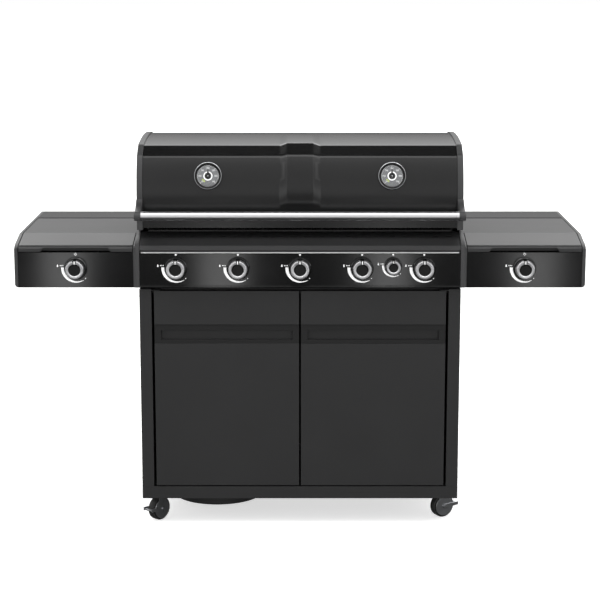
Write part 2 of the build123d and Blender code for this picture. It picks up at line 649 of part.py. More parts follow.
def band_side(rise):
    """Side outline of the raised band where it stands a given height above the lid sheet."""
    sunk = CAP_PROUD + BAND_SINK
    start = (LID_FRONT + sunk, BAND_START)
    middle = lid_point((BAND_START + FACE_END) / 2, 0.8 * rise - sunk)
    end = lid_point(FACE_END, rise - sunk)
    crown = (CROWN[0], CROWN[1] + rise - sunk)
    back = (TOP_BACK[0], TOP_BACK[1] - sunk)
    lines = ThreePointArc(start, middle, end) + Line(end, crown)
    lines += ThreePointArc(crown, (LID_MIDDLE, LID_TOP + 0.7 * rise - sunk), back)
    inner_z = LID_TOP - 40
    lines += Polyline(back, (back[0], inner_z), (CROWN[0] + 40, inner_z), (start[0] + 30, FACE_START + 60),
                      (start[0] + 15, BAND_START), start)
    return softened(make_face(lines), [end, crown])


def raised_band():
    """Swelling over the middle of the lid, flat across its crest, that fades out below and behind."""
    band = side_view(band_side(BAND_RISE), (-BAND_PROFILE[0][0], BAND_PROFILE[0][0]))
    for side in SIDES.values():
        sections = [Plane(origin=(side * x, 0, 0), x_dir=(0, 1, 0), z_dir=(1, 0, 0)) * band_side(share * BAND_RISE)
                    for x, share in BAND_PROFILE]
        for near, far in zip(sections, sections[1:]):
            band += loft([near, far], ruled=True)
    return band


def lid_handle():
    y = FRONT - HANDLE_REACH
    ends = ((-HANDLE_HALF, y, HANDLE_HEIGHT), (HANDLE_HALF, y, HANDLE_HEIGHT))
    return rod(HANDLE_RADIUS, *ends) - rod(HANDLE_RADIUS - HANDLE_WALL, *ends)


def handle_brackets():
    """Cast arms that sweep forward from the end caps to hold the handle."""
    y = FRONT - HANDLE_REACH
    reach = HANDLE_RADIUS
    foot = LID_FRONT - SEAT
    lines = Line((foot, FACE_START), (foot, HANDLE_HEIGHT - 12))
    lines += Line((foot, HANDLE_HEIGHT - 12), (y, HANDLE_HEIGHT - reach))
    lines += ThreePointArc((y, HANDLE_HEIGHT - reach), (y - reach, HANDLE_HEIGHT), (y, HANDLE_HEIGHT + reach))
    lines += ThreePointArc((y, HANDLE_HEIGHT + reach), (y + 42, HANDLE_HEIGHT + 23), (foot, FACE_START))
    arm = side_view(make_face(lines), (HANDLE_HALF + SEAT, HANDLE_HALF + BRACKET_WIDTH))
    arm = fillet(arm.edges().group_by(Axis.X)[-1].filter_by(lambda e: e.center().Y < foot - 1), 3.0)
    return arm, mirrored(arm)


def dial_point(side, out, up=0.0):
    """A point on the thermometer's axis, measured outward from the lid sheet."""
    y, lean = face_point(DIAL_HEIGHT)
    y += CAP_PROUD * cos(lean)
    z = DIAL_HEIGHT - CAP_PROUD * sin(lean)
    return (side * DIAL_X, y - out * cos(lean) + up * sin(lean), z + out * sin(lean) + up * cos(lean))


def thermometer_case(side):
    """Round case with a sunk dial, a hub post for the needle and a probe into the lid."""
    case = rod(DIAL_RADIUS, dial_point(side, -2), dial_point(side, 14))
    case = chamfer(case.faces().sort_by(Axis.Y)[0].edges(), 2.0)
    case -= rod(DIAL_RADIUS - 3.5, dial_point(side, 8), dial_point(side, 15))
    hub = rod(2.0, dial_point(side, 7), dial_point(side, 11))
    probe = rod(3.0, dial_point(side, -60), dial_point(side, 4))
    body = case + hub
    lean = degrees(face_point(DIAL_HEIGHT)[1])
    seat = Pos(*dial_point(side, 0)) * Rot(-lean, 0, 0) * Box(100, 8, 110)
    curve = side_view(offset(lid_outline(), -CAP_PROUD + 0.05), (side * DIAL_X - 60, side * DIAL_X + 60))
    return body - (curve & seat) + probe


def needle(side):
    """Pointer on the hub post, pointing straight up the dial."""
    hub = rod(10.0, dial_point(side, 8.6), dial_point(side, 11))
    lean = degrees(face_point(DIAL_HEIGHT)[1])
    blade = extrude(polygon([(-4, 8), (4, 8), (0, 31)]), 1.2)
    frame = Pos(*dial_point(side, 9.0)) * Rot(90 - lean, 0, 0)
    pointer = hub + frame * blade
    return pointer - rod(2.0 + RUNNING, dial_point(side, 5), dial_point(side, 15))


# Side tables ---------------------------------------------------------------

def table_lean():
    """How far the front part of a table's top slopes down."""
    return atan(NOSE_DROP / (TABLE_CREASE - NOSE_SETBACK))


def table_curve(inset, height):
    """Front end of a table's sloping top, then start, middle and end of the bend up to the flat."""
    lean = table_lean()
    centre = (FRONT + TABLE_CREASE + CREASE_RADIUS * tan(lean / 2), height - CREASE_RADIUS)
    reach = CREASE_RADIUS - inset
    bend = [(centre[0] - reach * sin(part * lean), centre[1] + reach * cos(part * lean)) for part in (1, 0.5, 0)]
    run = bend[0][0] - FRONT - NOSE_SETBACK
    return [(FRONT + NOSE_SETBACK, bend[0][1] - run * tan(lean))] + bend


def table_outline(height, front, back):
    """Side face of a table whose flat top is at the given height."""
    curve = table_curve(0, height)
    lines = Polyline((front, TABLE_BOTTOM), (front, height - NOSE_FRONT_DROP), curve[0], curve[1])
    lines += ThreePointArc(*curve[1:])
    lines += Polyline(curve[-1], (back, height), (back, TABLE_BOTTOM), (front, TABLE_BOTTOM))
    return make_face(lines)


def table(side):
    """Folded box: front panel, burner well, fixed rear top and two hidden side walls."""
    x = (TABLE_INNER + INNER_CAP + SEAT, TABLE_OUTER - OUTER_CAP - SEAT)
    y = (FRONT, BACK)
    shelf = block(x, (y[0] + 1, y[1]), (WELL_FLOOR - SHEET, WELL_FLOOR))
    shelf += block(x, (y[0], y[0] + SHEET), (TABLE_BOTTOM, TABLE_LIP))
    shelf += block(x, (y[0], y[0] + 6), (TABLE_LIP - SHEET, TABLE_LIP))
    shelf += block(x, (y[0], y[0] + FLANGE), (TABLE_BOTTOM, TABLE_BOTTOM + SHEET))
    shelf += block(x, (y[1] - SHEET, y[1]), (TABLE_BOTTOM, WORK_HEIGHT))
    shelf += block(x, (y[1] - FLANGE, y[1]), (TABLE_BOTTOM, TABLE_BOTTOM + SHEET))
    hinge_y = SIDE_PIVOT[0]
    shelf += block(x, (hinge_y + 8, y[1]), (WORK_HEIGHT - SHEET, WORK_HEIGHT))
    shelf += block(x, (hinge_y + 8, hinge_y + 8 + SHEET), (WELL_FLOOR - 1, WORK_HEIGHT))
    wall = table_outline(WORK_HEIGHT - 8, FRONT + 0.5, BACK - 0.5)
    for wall_x in ((x[0], x[0] + SHEET), (x[1] - SHEET, x[1])):
        side_wall = side_view(wall, wall_x)
        side_wall += block(wall_x, (hinge_y + 8, y[1]), (WELL_FLOOR, WORK_HEIGHT))
        shelf += side_wall
    shelf -= stem_hole(TABLE_KNOB_X, KNOB_HEIGHT)
    shelf -= manifold_hole()
    for wall_x in ((x[0] - 1, x[0] + SHEET + 1), (x[1] - SHEET - 1, x[1] + 1)):
        shelf -= rod(SIDE_PIN_RADIUS + RUNNING, (wall_x[0], *SIDE_PIVOT), (wall_x[1], *SIDE_PIVOT))
    shelf += burner_foot()
    return shelf if side > 0 else mirrored(shelf)


def burner_foot():
    return rod(30, (TABLE_KNOB_X, BURNER_Y, WELL_FLOOR - 1), (TABLE_KNOB_X, BURNER_Y, WELL_FLOOR + 4))


def table_end_caps():
    """Moulded ends that follow the top line of a table."""
    outline = table_outline(WORK_HEIGHT, FRONT, BACK)
    caps = []
    bevel = 1.5
    outer = side_view(outline, (TABLE_OUTER - OUTER_CAP, TABLE_OUTER - bevel))
    rim = Plane(origin=(TABLE_OUTER - bevel, 0, 0), x_dir=(0, 1, 0), z_dir=(1, 0, 0))
    outer += extrude(rim * outline, bevel, taper=45)
    outer -= side_view(offset(outline, -4), (TABLE_OUTER - OUTER_CAP - 1, TABLE_OUTER - 3))
    outer &= rounded_end()
    inner = side_view(outline, (TABLE_INNER, TABLE_INNER + INNER_CAP)) - manifold_hole()
    for cap in (outer, inner):
        caps += [cap, mirrored(cap)]
    return caps


def rounded_end():
    """Room inside which a table's outer end stays, rounded along its lower edge."""
    low = (TABLE_OUTER - 60, TABLE_BOTTOM)
    corner = (TABLE_OUTER, TABLE_BOTTOM)
    away = TABLE_CORNER * (1 - sqrt(0.5))
    lines = Polyline((low[0], WORK_HEIGHT), low, (corner[0] - TABLE_CORNER, corner[1]))
    lines += ThreePointArc((corner[0] - TABLE_CORNER, corner[1]), (corner[0] - away, corner[1] + away),
                           (corner[0], corner[1] + TABLE_CORNER))
    lines += Polyline((corner[0], corner[1] + TABLE_CORNER), (corner[0], WORK_HEIGHT), (low[0], WORK_HEIGHT))
    plane = Plane(origin=(0, BACK, 0), x_dir=(1, 0, 0), z_dir=(0, -1, 0))
    return extrude(plane * make_face(lines), TABLE_DEPTH)


def side_lid(side):
    """Sheet cover that follows the table's top line, with a finger notch in its front lip."""
    x = (TABLE_INNER + INNER_CAP + LID_GAP, TABLE_OUTER - OUTER_CAP - LID_GAP)
    back = LID_LINE
    lip = (FRONT + 2, TABLE_LIP + 1.5)
    upper = table_curve(0, WORK_HEIGHT)
    lower = table_curve(LID_SHEET, WORK_HEIGHT)
    rounding = ((lip[0], lip[1] + 9), (lip[0] + 5, lip[1] + 15.5), upper[0])
    lines = Line(lip, rounding[0]) + ThreePointArc(*rounding) + Line(*upper[:2]) + ThreePointArc(*upper[1:])
    lines += Polyline(upper[-1], (back, WORK_HEIGHT), (back, WORK_HEIGHT - LID_SHEET), lower[-1])
    lines += ThreePointArc(*reversed(lower[1:]))
    lines += Polyline(lower[1], lower[0], (lip[0] + LID_SHEET, lip[1] + 8), (lip[0] + LID_SHEET, lip[1]), lip)
    cover = side_view(make_face(lines), x) - finger_notch()
    grip = GRIP_RECESS_WIDTH / 2
    cover += block((TABLE_KNOB_X - grip, TABLE_KNOB_X + grip), (FRONT + 22, FRONT + 24), (lip[1], lower[0][1] + 1.5))
    for wall_x in ((x[0] + 4, x[0] + 6), (x[1] - 6, x[1] - 4)):
        cover += block(wall_x, (back - 40, SIDE_PIVOT[0] + 5), (SIDE_PIVOT[1] - 5, WORK_HEIGHT - 1))
    cover -= block((x[0] - 1, x[1] + 1), (back + 0.1, back + 40), (WORK_HEIGHT - 0.9, WORK_HEIGHT + 1))
    reach = LID_GAP - 0.8
    cover += rod(SIDE_PIN_RADIUS, (x[0] - reach, *SIDE_PIVOT), (x[0] + 6, *SIDE_PIVOT))
    cover += rod(SIDE_PIN_RADIUS, (x[1] - 6, *SIDE_PIVOT), (x[1] + reach, *SIDE_PIVOT))
    return cover if side > 0 else mirrored(cover)


def finger_notch():
    """Cut in a side lid's lip, narrower at its top, that fingers reach up through."""
    grip = GRIP_RECESS_WIDTH / 2
    low = TABLE_LIP
    high = TABLE_LIP + 1.5 + GRIP_RECESS_HEIGHT
    pinch = 9.0
    plane = Plane(origin=(0, FRONT + 21, 0), x_dir=(1, 0, 0), z_dir=(0, -1, 0))
    face = polygon([(TABLE_KNOB_X - grip, low), (TABLE_KNOB_X - grip + pinch, high),
                    (TABLE_KNOB_X + grip - pinch, high), (TABLE_KNOB_X + grip, low)])
    return extrude(plane * face, 25)


def ring_burner(side):
    """Burner bell with a flame ring of radial slots round its cap."""
    x = side * TABLE_KNOB_X
    y = BURNER_Y
    low = WELL_FLOOR + 4 + SEAT
    burner = rod(24, (x, y, low), (x, y, low + 8)) + rod(46, (x, y, low + 7), (x, y, low + 20))
    for index in range(24):
        cut = Pos(x, y, low + 12) * Rot(0, 0, 15 * index) * Pos(44, 0, 0) * Box(12, 2.4, 5)
        burner -= cut
    return burner + rod(38, (x, y, low + 19), (x, y, low + 24))


def pan_support(side):
    """Square cast trivet with four fingers pointing at the burner."""
    x = side * TABLE_KNOB_X
    y = BURNER_Y
    half = TRIVET_HALF
    top = WORK_HEIGHT - 12
    trivet = block((x - half, x + half), (y - half, y + half), (top - 8, top))
    trivet -= block((x - half + 8, x + half - 8), (y - half + 8, y + half - 8), (top - 9, top + 1))
    finger = block((28, half - 4), (-4, 4), (top - 10, top))
    for turn in range(4):
        trivet += Pos(x, y, 0) * Rot(0, 0, 90 * turn) * finger
        corner = block((half - 14, half), (half - 14, half), (WELL_FLOOR + SEAT, top - 2))
        trivet += Pos(x, y, 0) * Rot(0, 0, 90 * turn) * corner
    return trivet


# Casters -----------------------------------------------------------------

def caster_frame(x, y, angle):
    """Turns a caster drawn trailing along +X at the origin to its place."""
    return Pos(x, y, 0) * Rot(0, 0, angle)


def fork_inner():
    """Half the space between the fork's arms."""
    return WHEEL_WIDTH / 2 + FORK_GAP


def caster_plate(outline, low, high):
    """A plate cut to an outline (X, Z) in the caster's own frame, between two Y limits."""
    plane = Plane(origin=(0, high, 0), x_dir=(1, 0, 0), z_dir=(0, -1, 0))
    return extrude(plane * outline, high - low)


def caster_fork(trail, stem_top):
    """Swivel head, two arms that end in round cheeks, and the headed axle that carries the wheel."""
    inner = fork_inner()
    outer = inner + FORK_SHEET
    fork = block((-22, trail + 14), (-outer, outer), (FORK_TOP - 3, FORK_TOP))
    neck = polygon([(trail - 19, FORK_TOP - 1), (trail - 19, WHEEL_RADIUS), (trail + 14, WHEEL_RADIUS),
                    (trail + 14, FORK_TOP - 1)])
    for low, high in ((inner, outer), (-outer, -inner)):
        fork += caster_plate(neck, low, high)
        fork += rod(FORK_CHEEK_RADIUS, (trail, low, WHEEL_RADIUS), (trail, high, WHEEL_RADIUS))
    tip = outer + LEVER_SHEET + 1.5
    fork += rod(AXLE_RADIUS, (trail, -tip, WHEEL_RADIUS), (trail, tip, WHEEL_RADIUS))
    for end in SIDES.values():
        fork += rod(6.0, (trail, end * tip, WHEEL_RADIUS), (trail, end * (tip + 2.5), WHEEL_RADIUS))
    fork += rod(16, (0, 0, FORK_TOP - 1), (0, 0, FORK_TOP + 7))
    return fork + rod(10, (0, 0, FORK_TOP), (0, 0, stem_top))


def wheel(trail):
    """Tyre and hub in one moulding, dished on both sides and bored for the axle."""
    half = WHEEL_WIDTH / 2
    disc = rod(WHEEL_RADIUS, (trail, -half, WHEEL_RADIUS), (trail, half, WHEEL_RADIUS))
    disc = fillet(disc.edges().filter_by(GeomType.CIRCLE), 4.0)
    for face in (-half, half - 3):
        dish = rod(WHEEL_RADIUS - 9, (trail, face, WHEEL_RADIUS), (trail, face + 3, WHEEL_RADIUS))
        disc -= dish - rod(9, (trail, face, WHEEL_RADIUS), (trail, face + 3, WHEEL_RADIUS))
    return disc - rod(AXLE_RADIUS + RUNNING, (trail, -half - 1, WHEEL_RADIUS), (trail, half + 1, WHEEL_RADIUS))


def brake_lever():
    """Bail that turns on the axle outside the fork, with a tread behind the wheel."""
    inner = fork_inner() + FORK_SHEET + 0.6
    outer = inner + LEVER_SHEET
    pivot = brake_pivot()
    tip = pivot[0] + LEVER_REACH
    arm = polygon([(pivot[0], pivot[1] - 7), (tip, pivot[1] - 1), (tip, pivot[1] + 9), (pivot[0], pivot[1] + 7)])
    lever = block((tip - 9, tip), (-outer, outer), (pivot[1] + 1, pivot[1] + 1 + 2 * LEVER_SHEET))
    for low, high in ((inner, outer), (-outer, -inner)):
        lever += caster_plate(arm, low, high) + rod(7, (pivot[0], low, pivot[1]), (pivot[0], high, pivot[1]))
    return lever - rod(AXLE_RADIUS + RUNNING, (pivot[0], -outer - 1, pivot[1]), (pivot[0], outer + 1, pivot[1]))


def brake_pivot():
    """Brake pivot in the caster's own frame: along the trail, and height."""
    return (TRAIL, WHEEL_RADIUS)


def build():
    os.makedirs("parts", exist_ok=True)
    save("base_tray", base_tray())
    save("back_panel", back_panel())
    save("top_frame", top_frame())
    save("firebox", firebox())
    save("burner_tubes", *burner_tubes())
    save("flame_tamers", *flame_tamers())
    save("cooking_grates", *cooking_grates())
    save("warming_rack", warming_rack())
    save("rear_burner", rear_burner())
    save("drip_tray", drip_tray())
    save("control_panel", control_panel())
    save("panel_trim", panel_trim())
    save("console_hood", console_hood())
    save("cheek_plates", *cheek_plates())
    save("manifold", manifold())
    save("lid_shell", lid_shell())
    save("lid_end_caps", *lid_end_caps())
    save("lid_handle", lid_handle())
    save("handle_brackets", *handle_brackets())
    save("thermometer_cases", thermometer_case(-1), thermometer_case(1))
    save("table_end_caps", *table_end_caps())
    save("knob_bezels", *[knob_bezel(x, z, scale) for _, x, z, scale in knob_places()])
    save("valve_bodies", *[valve_body(x, z) for _, x, z, _ in knob_places()])
    for name, x, z, scale in knob_places():
        save(f"knob_{name}", *knob(x, z, scale))
        save(f"valve_plug_{name}", valve_plug(x, z))
    for name, side in SIDES.items():
        save(f"side_panel_{name}", side_panel(side))
        save(f"door_{name}", door(side))
        save(f"table_{name}", table(side))
        save(f"side_lid_{name}", side_lid(side))
        save(f"needle_{name}", needle(side))
    save("ring_burners", ring_burner(-1), ring_burner(1))
    save("pan_supports", pan_support(-1), pan_support(1))
    angles = {"left": LEFT_CASTER_ANGLE, "right": RIGHT_CASTER_ANGLE}
    rear_forks = []
    for name, side in SIDES.items():
        front = caster_frame(side * CASTER_X, CASTER_FRONT, angles[name])
        back = caster_frame(side * CASTER_X, CASTER_BACK, -90)
        save(f"caster_fork_{name}", front * caster_fork(TRAIL, DECK_TOP - SHEET - SEAT))
        save(f"wheel_front_{name}", front * wheel(TRAIL))
        save(f"brake_lever_{name}", front * brake_lever())
        save(f"wheel_rear_{name}", back * wheel(0))
        rear_forks.append(back * caster_fork(0, DECK_TOP - SHEET))
    save("rear_caster_forks", *rear_forks)


build()
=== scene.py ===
# %% [markdown]
# # A gas barbecue cart, dressed for its catalogue picture
#
# The real object is a steel cabinet on casters. It carries a firebox under one wide lid,
# a sloping control console with six knobs, and a lidded side burner on each side. Its
# engineering shapes come ready-made as a frame of named nodes that ride on moving bodies.
# This lesson keeps those shapes and gives them crisp edges, real finishes and fine parts.
#
# First we load the frame and hang each node on the body it rides on.

import json
import math

import bmesh
import bpy
from mathutils import Matrix, Vector

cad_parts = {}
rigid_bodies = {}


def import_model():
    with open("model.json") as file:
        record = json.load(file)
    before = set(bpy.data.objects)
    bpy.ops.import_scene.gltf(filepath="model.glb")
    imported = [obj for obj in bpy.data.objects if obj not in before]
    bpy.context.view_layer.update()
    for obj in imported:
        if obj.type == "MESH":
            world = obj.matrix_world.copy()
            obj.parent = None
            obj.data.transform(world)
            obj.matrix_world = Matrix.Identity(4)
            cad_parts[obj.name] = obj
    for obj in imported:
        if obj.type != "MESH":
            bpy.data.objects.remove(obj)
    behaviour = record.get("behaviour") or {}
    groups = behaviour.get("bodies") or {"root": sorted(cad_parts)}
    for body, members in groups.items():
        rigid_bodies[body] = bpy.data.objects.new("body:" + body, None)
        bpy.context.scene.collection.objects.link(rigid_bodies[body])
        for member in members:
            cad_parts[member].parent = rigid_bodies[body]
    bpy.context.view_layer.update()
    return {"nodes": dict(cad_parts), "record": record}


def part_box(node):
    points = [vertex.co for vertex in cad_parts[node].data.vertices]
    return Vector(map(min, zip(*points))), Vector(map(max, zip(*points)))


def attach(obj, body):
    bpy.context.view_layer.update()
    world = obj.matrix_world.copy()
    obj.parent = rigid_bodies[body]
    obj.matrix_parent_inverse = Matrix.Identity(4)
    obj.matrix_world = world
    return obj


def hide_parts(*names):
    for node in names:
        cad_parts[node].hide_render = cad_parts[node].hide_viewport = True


for leftover in list(bpy.data.objects):
    bpy.data.objects.remove(leftover)
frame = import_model()
joints = {joint["name"]: joint for joint in frame["record"]["behaviour"]["joints"]}
body_of_node = {}
for body_name, members in frame["record"]["behaviour"]["bodies"].items():
    for member in members:
        body_of_node[member] = body_name
MM = 0.001

# %% [markdown]
# ## Arithmetic on surfaces
#
# A finish is a small graph of shader nodes. Wiring each one by hand hides what the graph
# means, so this class wraps one output socket and lets us write the maths as Python:
# `1 - wear * 0.3` adds its own Math nodes. Every other node comes from `node`, which sets
# the node's options first and then its sockets, either to values or to other wires.

# %% A wire that does arithmetic
class Wire:
    def __init__(self, tree, socket=None):
        self.tree = tree
        self.socket = socket

    def node(self, kind, settings=None, sockets=None, out=0):
        made = self.tree.nodes.new(kind)
        for key, value in (settings or {}).items():
            if key == "stops":
                fill_ramp(made.color_ramp, value)
            else:
                setattr(made, key, value)
        for key, value in (sockets or {}).items():
            self.plug(made.inputs[key], value)
        return Wire(self.tree, made.outputs[out])

    def plug(self, entry, value):
        if isinstance(value, Wire):
            self.tree.links.new(value.socket, entry)
        else:
            entry.default_value = value

    def math(self, operation, first, second=0.0):
        return self.node("ShaderNodeMath", {"operation": operation}, {0: first, 1: second})

    def __add__(self, other):
        return self.math("ADD", self, other)

    def __sub__(self, other):
        return self.math("SUBTRACT", self, other)

    def __mul__(self, other):
        return self.math("MULTIPLY", self, other)

    def __truediv__(self, other):
        return self.math("DIVIDE", self, other)

    def __rsub__(self, other):
        return self.math("SUBTRACT", other, self)

    __radd__ = __add__
    __rmul__ = __mul__

    def mix(self, start, end):
        """The colour between two others, this wire being how far."""
        return self.node("ShaderNodeMix", {"data_type": "RGBA"}, {0: self, 6: start, 7: end}, out=2)


def fill_ramp(ramp, stops):
    """Puts the stops, given as (place, grey), on a colour ramp."""
    while len(ramp.elements) < len(stops):
        ramp.elements.new(0.5)
    for element, (place, grey) in zip(ramp.elements, stops):
        element.position = place
        element.color = (grey, grey, grey, 1)


# %% [markdown]
# ## Starting a finish
#
# Nearly every surface here is one Principled shader. Whatever is the same all over is set
# on the shader's own socket. Whatever varies is wired to colour, roughness or normal. The
# pattern is laid out in object space, in metres, so a grain is as fine as the real one.

# %% Start a finish
class Finish:
    def __init__(self, name, **fixed):
        self.material = bpy.data.materials.new(name)
        self.material.use_nodes = True
        self.tree = self.material.node_tree
        self.shader = self.tree.nodes["Principled BSDF"]
        for key, value in fixed.items():
            self.shader.inputs[key.replace("_", " ")].default_value = value
        self.wire = Wire(self.tree)
        self.place = self.wire.node("ShaderNodeTexCoord", out="Object")

    def noise(self, scale, detail=3.0, stretch=None, distortion=0.0):
        """Cloudy grey pattern; scale counts its features per metre."""
        vector = self.place
        if stretch:
            vector = self.wire.node("ShaderNodeMapping", {}, {"Vector": vector, "Scale": stretch})
        sockets = {"Vector": vector, "Scale": scale, "Detail": detail, "Distortion": distortion}
        return self.wire.node("ShaderNodeTexNoise", {}, sockets)

    def axis(self, name):
        """One coordinate of the surface point, in metres."""
        return self.wire.node("ShaderNodeSeparateXYZ", {}, {0: self.place}, out=name)

    def colour(self, value):
        self.wire.plug(self.shader.inputs["Base Color"], value)

    def rough(self, value):
        self.wire.plug(self.shader.inputs["Roughness"], value)

    def bump(self, height, depth, strength=1.0):
        """Makes the surface look raised where height is bright, depth metres deep."""
        sockets = {"Strength": strength, "Distance": depth, "Height": height}
        self.wire.plug(self.shader.inputs["Normal"], self.wire.node("ShaderNodeBump", {}, sockets))


def grey(value, tint=1.0):
    """An opaque grey; tint above one makes it a little bluer."""
    return (value, value, value * tint, 1)


# %% [markdown]
# ## Painted sheet and castings
#
# The lid, the hood and the side lids are sheet steel with a dark graphite paint. Up close such paint has an
# orange-peel ripple a few millimetres across, and fine metal flake. The hood and the side lids are given
# lighter copies of that graphite than the lid: painted light, which lifts them where the lighting leaves them
# darker. The console and the tables have a black gloss enamel, and the cabinet a flatter powder coat with a
# tighter, deeper grain. The recess of the door grips takes a darker copy of that coat, which is painted shade
# where the recess lies in shade. One function makes them all, since only the shade, the ripple, the flake and
# the gloss differ.

# %% Paints
def paint(name, shade, rough, ripple=180.0, ripple_depth=0.00004, flake=0.0, dust=0.15, tint=1.03, **fixed):
    finish = Finish(name, **fixed)
    cloud = finish.noise(6.0, 4.0)
    speck = finish.noise(2600.0, 1.0)
    peel = finish.noise(ripple, 2.0)
    base = cloud.mix(grey(shade * (1 - dust), tint), grey(shade * (1 + dust), tint))
    shining = speck.node("ShaderNodeValToRGB", {"stops": [(0.62, 0), (0.72, 1)]}, {0: speck})
    finish.colour((shining * flake).mix(base, grey(min(shade * 6, 1.0), tint)))
    finish.rough(rough + (cloud - 0.5) * 0.08 + (speck - 0.5) * 0.06)
    finish.bump(peel, ripple_depth, 0.6)
    return finish.material


graphite_sheet = paint("graphite_sheet_paint", 0.005, 0.22, ripple_depth=0.000004, flake=0.12)
# The side lids and the hood take lighter copies of the lid's graphite: painted light, lifting their tone
# where the lighting leaves them darker than the lid.
table_sheet = paint("table_sheet_paint", 0.016, 0.4, ripple_depth=0.000006, flake=0.12)
hood_paint_with_painted_light = paint("hood_graphite_with_painted_light", 0.02, 0.42, ripple_depth=0.000006, flake=0.12)
graphite_cast = paint("graphite_cast_paint", 0.03, 0.4, ripple=420.0, ripple_depth=0.00002, flake=0.12)
cabinet_paint = paint("cabinet_powder_coat", 0.011, 0.55, ripple=900.0, ripple_depth=0.00003, flake=0.08)
# A darker copy of the powder coat for the doors' grip recess: painted shade.
grip_recess_painted_shade = paint("grip_recess_painted_shade_coat", 0.003, 0.55, ripple=900.0, ripple_depth=0.00003, flake=0.08)
panel_enamel = paint("console_gloss_enamel", 0.003, 0.14, ripple=60.0, ripple_depth=0.000002, dust=0.1)
disc_grey = paint("caster_disc_grey", 0.62, 0.42, ripple=700.0, ripple_depth=0.00001)
bezel_black = paint("bezel_gloss_black", 0.004, 0.18, ripple=700.0, ripple_depth=0.00001)
print("paints", len(bpy.data.materials))

# %% [markdown]
# ## Bare metals
#
# Bright work is satin chrome; burners and rack are brushed stainless, whose grain is a
# noise stretched along the brushing. Castings keep the skin of their sand mould, a coarse
# lumpy bump. Each metal is a function of its colour and of how coarse its marks are.

# %% Metals
def metal(name, colour, rough, grain, stretch, depth, vary=0.12, streak=0.18, **fixed):
    finish = Finish(name, Metallic=1.0, **fixed)
    marks = finish.noise(grain, 3.0, stretch)
    cloud = finish.noise(9.0, 3.0)
    dark = tuple(part * (1 - vary) for part in colour) + (1,)
    finish.colour((marks * 0.6 + cloud * 0.4).mix(dark, tuple(colour) + (1,)))
    finish.rough(rough + (marks - 0.5) * streak + (cloud - 0.5) * streak * 0.3)
    finish.bump(marks, depth, 0.5)
    return finish.material


ALONG_X = (0.03, 1.0, 1.0)
ALONG_Y = (1.0, 0.03, 1.0)
EVEN = (1.0, 1.0, 1.0)
chrome = metal("polished_tube", (0.80, 0.80, 0.81), 0.34, 900.0, ALONG_X, 0.0000001, 0.02, 0.02)
bright_strip = metal("satin_trim_strip", (0.97, 0.97, 0.97), 0.5, 900.0, ALONG_X, 0.0000001, 0.03, 0.03)
stainless = metal("brushed_stainless", (0.55, 0.55, 0.54), 0.32, 900.0, ALONG_Y, 0.00001)
zinc = metal("zinc_plated_steel", (0.62, 0.63, 0.65), 0.34, 300.0, EVEN, 0.00001)
knob_satin = metal("knob_satin_metal", (0.74, 0.74, 0.75), 0.3, 700.0, EVEN, 0.000008)
cast_alloy = metal("cast_alloy", (0.42, 0.42, 0.41), 0.5, 500.0, EVEN, 0.00006)
brass = metal("turned_brass", (0.80, 0.62, 0.28), 0.26, 600.0, EVEN, 0.00001)
print("metals done")

# %% [markdown]
# ## Iron, enamel, rubber and printing
#
# Cast iron grates are matt and pitted. The firebox is enamelled, with a soot bloom that
# grows towards its top. Tyres are grey-black rubber with a dusty bloom. The printed marks
# are a thin white ink that is not perfectly even.

# %% Iron, enamel, rubber and ink
def cast_iron():
    finish = Finish("seasoned_cast_iron", Metallic=0.0)
    pits = finish.noise(650.0, 4.0)
    rust = finish.noise(30.0, 5.0)
    base = rust.mix(grey(0.010), (0.022, 0.018, 0.015, 1))
    finish.colour(base)
    finish.rough(0.55 + (pits - 0.5) * 0.3)
    finish.bump(pits, 0.00025, 0.7)
    return finish.material


def fired_enamel():
    finish = Finish("firebox_enamel", Metallic=0.0)
    soot = finish.noise(14.0, 5.0, distortion=0.6)
    height = finish.axis("Z")
    bloom = (height - 0.80) * 5.0 * soot
    finish.colour(bloom.mix(grey(0.006), grey(0.020)))
    finish.rough(0.25 + soot * 0.25 + bloom * 0.3)
    finish.bump(finish.noise(240.0, 3.0), 0.00005, 0.5)
    return finish.material


def rubber(name, shade, rough, **fixed):
    finish = Finish(name, **fixed)
    bloom = finish.noise(60.0, 4.0)
    fine = finish.noise(1500.0, 2.0)
    finish.colour(bloom.mix(grey(shade * 0.7), grey(shade * 1.4)))
    finish.rough(rough + (bloom - 0.5) * 0.2)
    finish.bump(fine, 0.00004, 0.6)
    return finish.material


def ink(name, colour, rough=0.45):
    finish = Finish(name)
    thin = finish.noise(1800.0, 2.0)
    paler = tuple(part * 0.9 for part in colour) + (1,)
    finish.colour(thin.mix(paler, tuple(colour) + (1,)))
    finish.rough(rough + (thin - 0.5) * 0.1)
    return finish.material


iron = cast_iron()
enamel = fired_enamel()
tyre_rubber = rubber("caster_tyre_rubber", 0.012, 0.6)
cap_black = rubber("knob_cap_moulding", 0.006, 0.4, Specular_IOR_Level=0.2)
white_ink = ink("white_print", (0.96, 0.96, 0.96))
dial_grey = ink("dial_plate", (0.15, 0.155, 0.16), 0.6)
scale_green = ink("dial_heat_band", (0.45, 0.55, 0.12))
print("materials so far", len(bpy.data.materials))

# %% [markdown]
# ## Clean edges on the engineered shapes
#
# The frame's nodes are triangle meshes with knife-sharp edges, and no real sheet or
# casting has those: every fold catches a line of light. So each node is rebuilt as a
# fresh piece. Its doubled corners are joined, its flat areas turned back into single
# faces, and a Bevel modifier rounds each sharp edge by the radius such a part has.

# %% Rebuild a node with soft edges
SHARP = math.radians(32)


